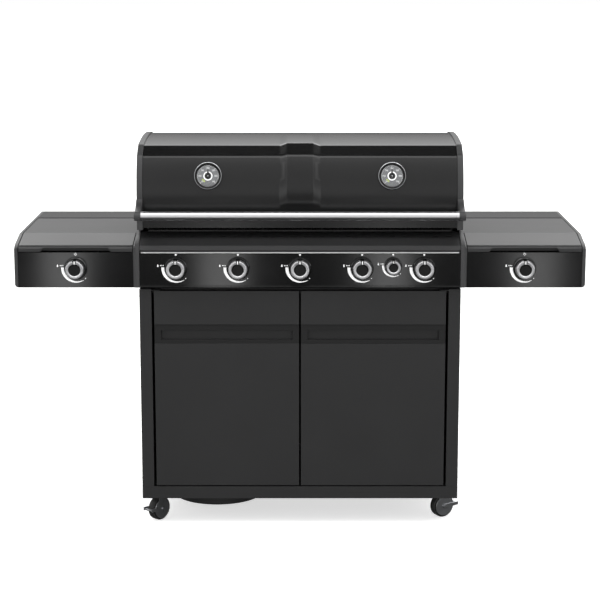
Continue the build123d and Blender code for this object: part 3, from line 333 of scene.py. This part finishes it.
def refine(node, finish, bevel=0.5 * MM, segments=2):
    source = frame["nodes"][node].data
    shape = bmesh.new()
    corners = [shape.verts.new(vertex.co) for vertex in source.vertices]
    for polygon in source.polygons:
        try:
            shape.faces.new([corners[index] for index in polygon.vertices])
        except ValueError:
            continue
    bmesh.ops.remove_doubles(shape, verts=shape.verts, dist=0.004 * MM)
    bmesh.ops.dissolve_limit(shape, angle_limit=math.radians(0.4), verts=shape.verts, edges=shape.edges)
    for face in shape.faces:
        face.smooth = True
    for edge in shape.edges:
        edge.smooth = edge.is_manifold and edge.calc_face_angle(0) < SHARP
    mesh = bpy.data.meshes.new(node + "_skin")
    shape.to_mesh(mesh)
    shape.free()
    piece = bpy.data.objects.new(node + "_skin", mesh)
    bpy.context.scene.collection.objects.link(piece)
    mesh.materials.append(finish)
    if bevel:
        rounding = piece.modifiers.new("rounded_edges", "BEVEL")
        rounding.width = bevel
        rounding.segments = segments
        rounding.limit_method = "ANGLE"
        rounding.angle_limit = SHARP
        rounding.harden_normals = True
    piece.modifiers.new("flat_faces_stay_flat", "WEIGHTED_NORMAL").keep_sharp = True
    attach(piece, body_of_node[node])
    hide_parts(node)
    return piece


skins = {}
sheet_nodes = {
    table_sheet: ["side_lid_left", "side_lid_right"],
    hood_paint_with_painted_light: ["console_hood"],
    graphite_cast: ["lid_end_caps", "handle_brackets", "table_end_caps", "cheek_plates"],
    cabinet_paint: ["base_tray", "side_panel_left", "side_panel_right", "back_panel", "top_frame"],
    panel_enamel: ["control_panel", "table_left", "table_right"],
    bezel_black: ["knob_bezels", "thermometer_cases"],
    enamel: ["firebox", "drip_tray"],
    stainless: ["burner_tubes", "flame_tamers", "warming_rack", "rear_burner"],
    zinc: ["manifold", "rear_caster_forks", "caster_fork_left", "caster_fork_right",
           "brake_lever_left", "brake_lever_right"],
    iron: ["cooking_grates", "pan_supports"],
    cast_alloy: ["valve_bodies", "ring_burners"],
}
for finish, names in sheet_nodes.items():
    for name in names:
        skins[name] = refine(name, finish)
skins["lid_shell"] = refine("lid_shell", graphite_sheet, 0.8 * MM)
skins["panel_trim"] = refine("panel_trim", bright_strip, 1.4 * MM, 4)
for name in ("door_left", "door_right"):
    door = refine(name, cabinet_paint, 0.9 * MM)
    door.data.materials.append(grip_recess_painted_shade)
    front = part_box(name)[0].y
    # Front-facing faces a few millimetres behind the door front, in the grip recess, get the darker coat as
    # painted shade.
    for face in door.data.polygons:
        if face.normal.y < -0.9 and 1 * MM < face.center.y - front < 6 * MM:
            face.material_index = 1
    skins[name] = door
for name in frame["nodes"]:
    if name.startswith("valve_plug"):
        skins[name] = refine(name, brass, 0.2 * MM)
print("rebuilt", len(skins), "nodes")

# %% [markdown]
# ## Turning pieces on a lathe
#
# Knobs, dials, wheels and the handle are all turned shapes. A lathe sweeps a profile of
# (radius, height) points round an axis. It works in the piece's own frame, where Z points
# out of the face, and a matrix then stands it in its place on the object.

# %% The lathe
def link(name, shape, finish, body, replaced=(), smooth=SHARP):
    """Turns finished bmesh work into a piece that rides on a body."""
    bmesh.ops.recalc_face_normals(shape, faces=shape.faces)
    for face in shape.faces:
        face.smooth = True
    for edge in shape.edges:
        edge.smooth = edge.is_manifold and edge.calc_face_angle(0) < smooth
    mesh = bpy.data.meshes.new(name)
    shape.to_mesh(mesh)
    shape.free()
    mesh.materials.append(finish)
    piece = bpy.data.objects.new(name, mesh)
    bpy.context.scene.collection.objects.link(piece)
    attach(piece, body)
    if replaced:
        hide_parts(*replaced)
    return piece


def lathe(profile, place, start=0.0, turn=math.tau, steps=96, into=None):
    """Sweeps (radius, height) points round local Z. A part turn gets closed ends."""
    shape = into or bmesh.new()
    whole = abs(turn - math.tau) < 1e-6
    count = steps if whole else steps + 1
    rings = []
    for step in range(count):
        angle = start + turn * step / steps
        ring = [shape.verts.new(place @ Vector((radius * math.cos(angle), radius * math.sin(angle), height)))
                for radius, height in profile]
        rings.append(ring)
    pairs = [(rings[step], rings[(step + 1) % count]) for step in range(steps)]
    length = len(profile)
    for one, two in pairs:
        for index in range(length):
            after = (index + 1) % length
            shape.faces.new((one[index], one[after], two[after], two[index]))
    if not whole:
        shape.faces.new(rings[0])
        shape.faces.new(rings[-1][::-1])
    return shape


def prism(outline, place, low, high, into=None):
    """A flat outline of (x, y) points given thickness along local Z."""
    shape = into or bmesh.new()
    under = [shape.verts.new(place @ Vector((x, y, low))) for x, y in outline]
    over = [shape.verts.new(place @ Vector((x, y, high))) for x, y in outline]
    shape.faces.new(under[::-1])
    shape.faces.new(over)
    for index in range(len(outline)):
        after = (index + 1) % len(outline)
        shape.faces.new((under[index], under[after], over[after], over[index]))
    return shape


def in_mm(*points):
    """Points given in millimetres, as metres."""
    return [(across * MM, along * MM) for across, along in points]


def rectangle(left, right, low, high):
    return [(left, low), (right, low), (right, high), (left, high)]


def frame_at(origin, right, up, out):
    """Matrix of a frame with local X, Y and Z along three directions."""
    turn = Matrix((right, up, out)).transposed()
    return Matrix.Translation(origin) @ turn.to_4x4()


def facing_front(x, y, z):
    """Frame on an upright front face: local X right, Y up, Z out towards the user."""
    return Matrix(((1, 0, 0, x), (0, 0, -1, y), (0, 1, 0, z), (0, 0, 0, 1)))


# %% [markdown]
# ## The knobs
#
# Each knob is a satin metal ring round a dark moulded cap. A gap in the ring at twelve
# o'clock shows the moulding behind, with a white line that points at the marks. The ring
# is turned as almost a full circle, so that the gap is real and keeps its own edges.

# %% Knobs
panel_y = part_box("knob_bezels")[1].y + 0.3 * MM
knob_names = [name for name in frame["nodes"] if name.startswith("knob_") and name != "knob_bezels"]


# Sizes of the large knob, which smaller knobs scale down
LARGE_KNOB_RADIUS = 29.5 * MM
CAP_RADIUS = 18.6 * MM
HALF_GAP = 5.6 * MM
HALF_POINTER = 1.45 * MM


def build_knob(node):
    low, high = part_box(node)
    radius = (high.x - low.x) / 2
    k = radius / LARGE_KNOB_RADIUS
    reach = panel_y - low.y
    place = facing_front((low.x + high.x) / 2, panel_y, (low.z + high.z) / 2)
    body = body_of_node[node]
    gap = math.asin(HALF_GAP * k / radius)
    inner = CAP_RADIUS * k
    ring = [(inner, reach - 9 * MM), (inner, reach - 1.2 * MM), (inner + 0.9 * MM, reach - 0.4 * MM),
            (inner + 4.8 * MM * k, reach - 0.1 * MM), (inner + 5.2 * MM * k, reach - 0.7 * MM),
            (inner + 5.8 * MM * k, reach - 0.7 * MM), (inner + 6.2 * MM * k, reach - 0.1 * MM),
            (radius - 2.4 * MM * k, reach - 0.3 * MM), (radius - 0.7 * MM, reach - 1.9 * MM),
            (radius, reach - 4.5 * MM), (radius, 12 * MM), (radius - 1.2 * MM, 10 * MM),
            (radius - 3 * MM, 10 * MM), (radius - 3 * MM, reach - 9 * MM)]
    shape = lathe(ring, place, math.pi / 2 + gap, math.tau - 2 * gap)
    link(node + "_ring", shape, knob_satin, body, [node])
    core = [(0.2 * MM, reach - 2.4 * MM), (inner - 3.4 * MM, reach - 2.2 * MM),
            (inner - 1.6 * MM, reach - 1.0 * MM), (inner - 0.5 * MM, reach - 1.5 * MM),
            (inner - 0.3 * MM, reach - 3.6 * MM), (radius - 0.9 * MM, reach - 4.0 * MM),
            (radius - 0.5 * MM, reach - 6 * MM), (radius - 0.5 * MM, 6 * MM), (0.2 * MM, 6 * MM)]
    link(node + "_moulding", lathe(core, place), cap_black, body)
    half = HALF_POINTER * k
    line = rectangle(-half, half, inner - 0.4 * MM, radius - 2.2 * MM)
    shape = prism(line, place, reach - 4.2 * MM, reach - 1.6 * MM)
    link(node + "_pointer", shape, white_ink, body)


for name in knob_names:
    build_knob(name)
print("knobs", len(knob_names))

# %% [markdown]
# ## The printed marks
#
# Round each knob the panel carries a white crescent, fat where the flame is high and
# fading to a dot where it is low, plus an off mark above and a small flame. They are ink,
# but a raised skin a fraction of a millimetre thick prints more sharply than a pattern in
# the enamel would. The crescent is the gap between two circles with different centres.

# %% Marks round the knobs
INK_BACK = 0.02 * MM
INK_FRONT = 0.22 * MM
CRESCENT_RADIUS = 44.5 * MM
CRESCENT_WIDTH = 10.5 * MM
CRESCENT_START = math.radians(176)
CRESCENT_END = math.radians(304)
CRESCENT_STEPS = 40
LOW_DOT_ANGLE = math.radians(313)
FLAME_HEIGHT = 8.5 * MM


def arc_points(radius, start, end, steps, centre=(0.0, 0.0)):
    angles = [start + (end - start) * step / steps for step in range(steps + 1)]
    return [(centre[0] + radius * math.cos(angle), centre[1] + radius * math.sin(angle)) for angle in angles]


def disc_outline(radius, centre=(0.0, 0.0)):
    return arc_points(radius, 0, math.tau * 23 / 24, 23, centre)


def flame_outline(height, centre):
    """A drop with its point at the top, leaning slightly."""
    points = []
    for step in range(20):
        angle = math.tau * step / 20
        pinch = 0.5 - 0.5 * math.sin(angle)
        points.append((centre[0] + height * 0.36 * math.cos(angle) * (0.25 + 0.75 * pinch),
                       centre[1] + height * 0.5 * math.sin(angle)))
    return points


def print_marks(node):
    low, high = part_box(node)
    k = (high.x - low.x) / 2 / LARGE_KNOB_RADIUS
    place = facing_front((low.x + high.x) / 2, panel_y, (low.z + high.z) / 2)
    outer = CRESCENT_RADIUS * k
    edge = arc_points(outer, CRESCENT_START, CRESCENT_END, CRESCENT_STEPS)
    inside = []
    for step in range(CRESCENT_STEPS, -1, -1):
        share = step / CRESCENT_STEPS
        angle = CRESCENT_START + (CRESCENT_END - CRESCENT_START) * share
        reach = outer - CRESCENT_WIDTH * k * (1 - share) ** 0.8 - 0.7 * MM
        inside.append((reach * math.cos(angle), reach * math.sin(angle)))
    shape = prism(edge + inside, place, INK_BACK, INK_FRONT)
    reach = outer * 0.97
    dot = (reach * math.cos(LOW_DOT_ANGLE), reach * math.sin(LOW_DOT_ANGLE))
    prism(disc_outline(1.5 * MM * k, dot), place, INK_BACK, INK_FRONT, shape)
    if "table" in node:
        size, wall = 4.6 * MM, 1.5 * MM
        top = 44 * MM
        for quarter in range(4):
            turn = math.pi / 2 * quarter
            after = turn + math.pi / 2
            ends = [(size, turn), (size - wall, turn), (size - wall, after), (size, after)]
            outline = [(reach * math.cos(angle), top + reach * math.sin(angle)) for reach, angle in ends]
            prism(outline, place, INK_BACK, INK_FRONT, shape)
    else:
        prism(disc_outline(3.0 * MM, (0, 42 * MM * (0.35 + 0.65 * k))), place, INK_BACK, INK_FRONT, shape)
    side = -outer - 11 * MM
    level = FLAME_HEIGHT * k
    prism(flame_outline(FLAME_HEIGHT, (side, level)), place, INK_BACK, INK_FRONT, shape)
    for index in range(3):
        left = side + (7 + 4.2 * index) * MM
        bar = rectangle(left, left + 2.4 * MM, level - 1.4 * MM, level + 1.4 * MM)
        prism(bar, place, INK_BACK, INK_FRONT, shape)
    link(node + "_marks", shape, white_ink, "cabinet")


for name in knob_names:
    print_marks(name)
print("marks printed")

# %% [markdown]
# ## The thermometers
#
# Two dials sit in the leaning face of the lid. Each has a sunk grey plate, a white scale
# with six ticks from one number to the next, a white ring, a heat band and a black needle
# under a flat glass. The plate sits in a black rim with a thin bright edge. Each dial is
# drawn at one radius and scaled to its case. The needle turns with its own body.

# %% Dial frames and plates
def needle_frame(side):
    """Frame on a dial: local Z out of the lid, Y up the dial, X to the right."""
    joint = joints[f"needle_{side}_turn"]
    out = -Vector(joint["axis"])
    right = Vector((1, 0, 0))
    up = out.cross(right)
    origin = Vector(joint["pos_m"])
    return frame_at(origin, right, up, out)


DRAWN_RADIUS = 43.5 * MM
PLATE = -0.9 * MM
SCALE_SWEEP = math.radians(270)
FIRST_TICK = math.radians(225)
TICKS = 36
TICKS_PER_NUMBER = 6
NUMBER_STEP = 50
NUMBER_HEIGHT = 6.6 * MM
NUMBER_RADIUS = 25 * MM
SCALE_RADIUS = 34 * MM
PLATE_RADIUS = 34.8 * MM


def tick_angle(index):
    """Direction of a scale mark: the first is at half past seven, and they run clockwise."""
    return FIRST_TICK - SCALE_SWEEP * index / TICKS


def flat_number(text, height, place, x, y, shape):
    """Adds a raised number to a bmesh, centred at (x, y) on the dial."""
    curve = bpy.data.curves.new("number", "FONT")
    curve.body = text
    curve.size = height
    curve.align_x = "CENTER"
    curve.align_y = "CENTER"
    curve.extrude = 0.04 * MM
    curve.resolution_u = 3
    holder = bpy.data.objects.new("number", curve)
    bpy.context.scene.collection.objects.link(holder)
    bpy.context.view_layer.update()
    mesh = bpy.data.meshes.new_from_object(holder)
    mesh.transform(place @ Matrix.Translation((x, y, PLATE + 0.16 * MM)))
    shape.from_mesh(mesh)
    bpy.data.objects.remove(holder)
    bpy.data.meshes.remove(mesh)


def build_dial(side):
    centre = abs(joints[f"needle_{side}_turn"]["pos_m"][0])
    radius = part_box("thermometer_cases")[1].x - centre
    place = needle_frame(side) @ Matrix.Scale(radius / DRAWN_RADIUS, 4)
    plate = rectangle(0.3 * MM, PLATE_RADIUS, PLATE - 0.4 * MM, PLATE)
    link(f"dial_plate_{side}", lathe(plate, place), dial_grey, "lid")
    marks = bmesh.new()
    for index in range(TICKS + 1):
        angle = tick_angle(index)
        long = index % TICKS_PER_NUMBER == 0
        inner = (29.5 if long else 31.5) * MM
        half = (0.6 if long else 0.36) * MM
        along = Vector((math.cos(angle), math.sin(angle)))
        across = Vector((-along.y, along.x))
        outline = [along * out + across * aside for out, aside in rectangle(inner, SCALE_RADIUS, -half, half)]
        prism([tuple(point) for point in outline], place, PLATE + 0.02 * MM, PLATE + 0.2 * MM, marks)
        if long:
            number = NUMBER_STEP + NUMBER_STEP * index // TICKS_PER_NUMBER
            spot = along * NUMBER_RADIUS
            flat_number(str(number), NUMBER_HEIGHT, place, spot.x, spot.y, marks)
    lathe(rectangle(10.8 * MM, 14.6 * MM, PLATE, PLATE + 0.3 * MM), place, into=marks)
    link(f"dial_scale_{side}", marks, white_ink, "lid")
    band = bmesh.new()
    for start, end in ((-2.4, -0.6), (0.0, 1.8)):
        edge = arc_points(22.5 * MM, tick_angle(start), tick_angle(end), 10)
        back = arc_points(17.5 * MM, tick_angle(end), tick_angle(start), 10)
        prism(edge + back, place, PLATE + 0.02 * MM, PLATE + 0.18 * MM, band)
    link(f"dial_band_{side}", band, scale_green, "lid")
    needle = bmesh.new()
    hub = in_mm((2.2, 0.0), (9.2, 0.0), (9.8, 0.5), (9.8, 1.2), (8.6, 1.9), (3.0, 2.0), (2.2, 1.8))
    lathe(hub, place, into=needle)
    prism(in_mm((-3.0, 8), (3.0, 8), (0.4, 22), (-0.4, 22)), place, 0.2 * MM, 1.0 * MM, needle)
    link(f"needle_{side}_pointer", needle, cap_black, f"needle_{side}", [f"needle_{side}"])
    low = PLATE / MM
    boss = in_mm((0.2, low), (1.9, low), (1.9, 2.2), (1.4, 2.6), (0.2, 2.6))
    link(f"dial_boss_{side}", lathe(boss, place, steps=24), zinc, "lid")
    rim = in_mm((35.0, low), (35.2, 3.0), (39.4, 5.2), (40.9, 5.2), (41.4, 4.6), (41.2, 3.2), (39.6, low))
    link(f"dial_rim_{side}", lathe(rim, place), cap_black, "lid")
    edge = in_mm((41.6, 4.6), (41.9, 5.3), (42.8, 5.0), (43.4, 4.1), (43.2, 3.2), (42.4, 3.4))
    link(f"dial_edge_{side}", lathe(edge, place), zinc, "lid")
    glass = in_mm((0.3, 2.4), (0.3, 3.1), (34.9, 3.0), (34.9, 2.4))
    link(f"dial_glass_{side}", lathe(glass, place), lens, "lid")


# %% [markdown]
# ## Glass
#
# The dial glass is thin and clean. A Principled shader with full transmission would bend
# and darken what is under it, so this one is mostly see-through by alpha and keeps only
# the gloss of its face.

# %% Dial glass
def clear_glass():
    finish = Finish("dial_glass", IOR=1.45, Specular_IOR_Level=0.1)
    smear = finish.noise(40.0, 3.0)
    finish.colour(smear.mix(grey(0.55), grey(0.62)))
    finish.rough(0.03 + smear * 0.04)
    finish.wire.plug(finish.shader.inputs["Alpha"], 0.01 + smear * 0.02)
    return finish.material


lens = clear_glass()
for side in ("left", "right"):
    build_dial(side)
print("dials built")

# %% [markdown]
# ## The handle
#
# The handle is a satin chrome tube held by a cast arm at each end. It is turned along its
# length: the last nine millimetres stand half a millimetre proud as a collar, and the ends
# are rounded over.

# %% Handle tube
def along_x(x, y, z):
    """Frame whose local Z runs along the row's X axis."""
    return Matrix(((0, 0, 1, x), (1, 0, 0, y), (0, 1, 0, z), (0, 0, 0, 1)))


def build_handle():
    low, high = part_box("lid_handle")
    radius = (high.z - low.z) / 2
    half = high.x
    place = along_x(0, (low.y + high.y) / 2, (low.z + high.z) / 2)
    tube = [(radius - 1.6 * MM, -half), (radius - 0.6 * MM, -half)]
    for sign, ends in ((-1, (0.0, 0.6, 9.0, 9.4, 10.0)), (1, (10.0, 9.4, 9.0, 0.6, 0.0))):
        depths = (0.4, 0.0, 0.0, 0.5, 0.5) if sign < 0 else (0.5, 0.5, 0.0, 0.0, 0.4)
        tube += [(radius - depth * MM, sign * (half - end * MM)) for end, depth in zip(ends, depths)]
    tube += [(radius - 0.6 * MM, half), (radius - 1.6 * MM, half)]
    link("lid_handle_tube", lathe(tube, place, steps=128), chrome, "lid", ["lid_handle"])


build_handle()
print("handle built")

# %% [markdown]
# ## Casters
#
# A caster wheel is a rubber tyre pressed on a metal disc. The disc is dished, with two
# raised rings and a hub that runs on the axle. Tyre and disc are separate turned pieces
# here, so the line between them is a real step.

# %% Wheels
def wheel_place(joint_name):
    """Frame at a wheel's centre with local Z along its axle."""
    joint = joints[joint_name]
    out = Vector(joint["axis"]).normalized()
    up = Vector((0, 0, 1))
    side = up.cross(out)
    centre = Vector(joint["pos_m"])
    return frame_at(centre, side, up, out)


TYRE_WIDTH = 24 * MM
TREAD_ROUND = 4 * MM


def build_wheel(node):
    place = wheel_place(node + "_roll")
    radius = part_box(node)[1].z / 2
    half = TYRE_WIDTH / 2
    tread = []
    for degrees in range(-90, 91, 15):
        angle = math.radians(degrees)
        side = (degrees > 0) - (degrees < 0)
        tread.append((radius - TREAD_ROUND + TREAD_ROUND * math.cos(angle),
                      side * (half - TREAD_ROUND) + TREAD_ROUND * math.sin(angle)))
    tyre = [(radius - 9.5 * MM, -half + 1.2 * MM), (radius - 7 * MM, -half)] + tread
    tyre += [(radius - 7 * MM, half), (radius - 9.5 * MM, half - 1.2 * MM)]
    body = body_of_node[node]
    link(node + "_tyre", lathe(tyre, place, steps=96), tyre_rubber, body, [node])
    face = [(4.1, 10.6), (8.2, 10.6), (8.8, 10.0), (9.4, 7.6), (15.0, 7.2), (15.6, 7.9), (16.8, 7.9),
            (17.4, 7.2), (23.5, 7.6), (24.4, 9.6), (25.4, 10.6), (27.2, 10.9), (28.4, 10.4)]
    disc = in_mm(*face, *[(r, -h) for r, h in reversed(face)])
    link(node + "_disc", lathe(disc, place, steps=96), disc_grey, body)


for name in ("wheel_front_left", "wheel_front_right", "wheel_rear_left", "wheel_rear_right"):
    build_wheel(name)
print("wheels built")

# %% [markdown]
# ## Panel screws
#
# Small fasteners tell the eye how big the cart is. Low round screws with a four-sided
# recess hold the side and back sheets to their folds.

# %% Fasteners
def screws(name, places, finish, body, radius=3.2 * MM, height=1.6 * MM):
    """Low domed heads with a four-sided recess, all in one piece."""
    shape = bmesh.new()
    for place in places:
        dome = [(radius * 0.42, height * 0.55), (radius * 0.46, height * 0.96), (radius * 0.7, height * 0.86),
                (radius * 0.92, height * 0.5), (radius, 0.0), (radius * 0.42, 0.0)]
        lathe(dome, place, steps=24, into=shape)
        recess = [(0.05 * MM, height * 0.3), (radius * 0.42, height * 0.5), (radius * 0.42, 0.0),
                  (0.05 * MM, 0.0)]
        lathe(recess, place, steps=4, into=shape)
    link(name, shape, finish, body)


def facing(x, y, z, out):
    """Frame at a point with local Z along any horizontal or vertical direction."""
    out = Vector(out).normalized()
    guide = Vector((0, 0, 1)) if abs(out.z) < 0.9 else Vector((0, 1, 0))
    right = guide.cross(out).normalized()
    up = out.cross(right)
    return frame_at(Vector((x, y, z)), right, up, out)


SIDE_INSET = 14 * MM
SIDE_END_INSET = 25 * MM
BACK_INSET = 12 * MM
BACK_END_INSET = 15 * MM
BACK_COLUMNS = 5
panel_low, panel_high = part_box("side_panel_right")
middle = (panel_low.z + panel_high.z) / 2
places = []
for sign in (-1, 1):
    for y in (panel_low.y + SIDE_INSET, panel_high.y - SIDE_INSET):
        for z in (panel_low.z + SIDE_END_INSET, middle, panel_high.z - SIDE_END_INSET):
            places.append(facing(sign * panel_high.x, y, z, (sign, 0, 0)))
screws("side_screws", places, bezel_black, "cabinet")
back_low, back_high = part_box("back_panel")
places = []
row_width = back_high.x - back_low.x - 2 * BACK_INSET
for column in range(BACK_COLUMNS):
    x = back_low.x + BACK_INSET + row_width * column / (BACK_COLUMNS - 1)
    for z in (back_low.z + BACK_END_INSET, back_high.z - BACK_END_INSET):
        places.append(facing(x, back_high.y, z, (0, 1, 0)))
screws("back_screws", places, zinc, "cabinet")
print("fasteners added")

# %% [markdown]
# ## Floor and backdrop
#
# A catalogue picture has a white room. The floor is a wide pale sheet that glows a little,
# so that the shadow under the cart stays faint. The backdrop is a huge white shell that
# only the camera can see. Kept out of the reflections, it leaves the paint free to mirror
# the lamps against darkness, which is what makes dark gloss look like dark gloss.

# %% Floor and backdrop
ROOM = 60
FLOOR_GLOW = 0.62


def stage_piece(name, shape, finish):
    mesh = bpy.data.meshes.new(name)
    shape.to_mesh(mesh)
    shape.free()
    mesh.materials.append(finish)
    piece = bpy.data.objects.new(name, mesh)
    bpy.context.scene.collection.objects.link(piece)
    piece.visible_glossy = False
    return piece


floor_shape = bmesh.new()
bmesh.ops.create_grid(floor_shape, x_segments=2, y_segments=2, size=ROOM)
floor_finish = Finish("pale_floor", Roughness=0.9, Emission_Color=(1, 1, 1, 1), Emission_Strength=FLOOR_GLOW)
floor_finish.colour(floor_finish.noise(2.0).mix(grey(0.78), grey(0.8)))
stage_piece("floor", floor_shape, floor_finish.material)
shell_shape = bmesh.new()
bmesh.ops.create_icosphere(shell_shape, subdivisions=4, radius=ROOM)
shell_finish = Finish("white_backdrop", Roughness=1.0, Emission_Color=(1, 1, 1, 1), Emission_Strength=1.0)
shell_finish.colour(grey(0.0))
backdrop = stage_piece("backdrop", shell_shape, shell_finish.material)
backdrop.visible_diffuse = False
backdrop.visible_shadow = False
backdrop.visible_transmission = False
print("room built")

# %% [markdown]
# ## Studio light
#
# The lighting of a dark glossy object is really the design of what it mirrors. Here that is
# an overhead arch, bright above the lid and falling off towards the back, with a dark gap
# before a softer front light. The world holds it as a ramp along the angle from the front
# horizon, over the top, to the back. Off to each side the world has a brighter strip, which
# draws the thin lines along the lid's raised band. Four narrow lamps low in front put the
# soft upright glows on the console and the side tables.

# %% The overhead arch
def build_world():
    world = bpy.data.worlds.new("studio_arch")
    bpy.context.scene.world = world
    world.use_nodes = True
    wire = Wire(world.node_tree)
    direction = wire.node("ShaderNodeTexCoord", out="Generated")
    back = wire.node("ShaderNodeSeparateXYZ", {}, {0: direction}, out="Y")
    up = wire.node("ShaderNodeSeparateXYZ", {}, {0: direction}, out="Z")
    turn = wire.math("ARCTAN2", up, 0 - back) / math.pi
    arch = wire.node("ShaderNodeValToRGB", {"stops": ARCH}, {0: (turn + BELOW) / (1 + BELOW)})
    across = wire.node("ShaderNodeSeparateXYZ", {}, {0: direction}, out="X")
    strips = wire.node("ShaderNodeValToRGB", {"stops": SIDE_STRIPS}, {0: wire.math("ABSOLUTE", across)})
    background = world.node_tree.nodes["Background"]
    wire.plug(background.inputs["Color"], arch)
    wire.plug(background.inputs["Strength"], strips * ARCH_STRENGTH)


def arch_place(angle):
    """Where on the ramp an angle lies, counted from the front horizon over the top."""
    return (angle / 180 + BELOW) / (1 + BELOW)


# The ramp starts below the front horizon, by this share of a half turn
BELOW = 0.2
ARCH_STRENGTH = 6.0
# Along the sideways part of a direction: plain in the middle, brighter in a strip each side
SIDE_STRIPS = [(0.0, 0.5), (0.2, 0.5), (0.27, 1.0), (0.42, 1.0), (0.5, 0.5)]
ARCH = [(arch_place(angle), 2 * glow / ARCH_STRENGTH) for angle, glow in (
    (-30, 0.02), (-9, 0.05), (-1, 0.8), (20, 0.65), (40, 0.75), (56, 1.1), (66, 2.8), (77, 2.8), (85, 0.1),
    (98, 0.06), (110, 0.0), (124, 0.0), (134, 3.0), (150, 2.1), (164, 0.7), (172, 0.35), (179, 0.08))]
build_world()

# %% Lamps
def softbox(name, power, size, location, target):
    data = bpy.data.lights.new(name, "AREA")
    data.shape = "RECTANGLE"
    data.size, data.size_y = size
    data.energy = power
    lamp = bpy.data.objects.new(name, data)
    bpy.context.scene.collection.objects.link(lamp)
    lamp.location = location
    lamp.rotation_euler = (Vector(target) - Vector(location)).to_track_quat("-Z", "Y").to_euler()
    return lamp


LAMP_BACK = 2.0
LAMP_HEIGHT = 0.46
LAMP_SIZE = (0.18, 0.34)
LAMP_WATTS = 0.6
LAMP_AIM_HEIGHT = 0.5
LAMP_PLACES = (-0.99, -0.33, 0.37, 0.99)
for index, x in enumerate(LAMP_PLACES):
    spot = (x, panel_y - LAMP_BACK, LAMP_HEIGHT)
    softbox(f"strip_{index}", LAMP_WATTS, LAMP_SIZE, spot, (x, panel_y, LAMP_AIM_HEIGHT))
bpy.context.scene.view_settings.view_transform = "Standard"
print("lamps set")

# %% Camera
SENSOR_WIDTH = 36
LENS = 106.8
EYE_BACK = 5.3714
EYE_HEIGHT = 1.7645
TILT = 10.95
camera_data = bpy.data.cameras.new("catalogue_camera")
camera_data.sensor_width = SENSOR_WIDTH
camera_data.lens = LENS
camera = bpy.data.objects.new("catalogue_camera", camera_data)
bpy.context.scene.collection.objects.link(camera)
camera.location = (0, panel_y - EYE_BACK, EYE_HEIGHT)
camera.rotation_euler = (math.radians(90 - TILT), 0, 0)
bpy.context.scene.camera = camera
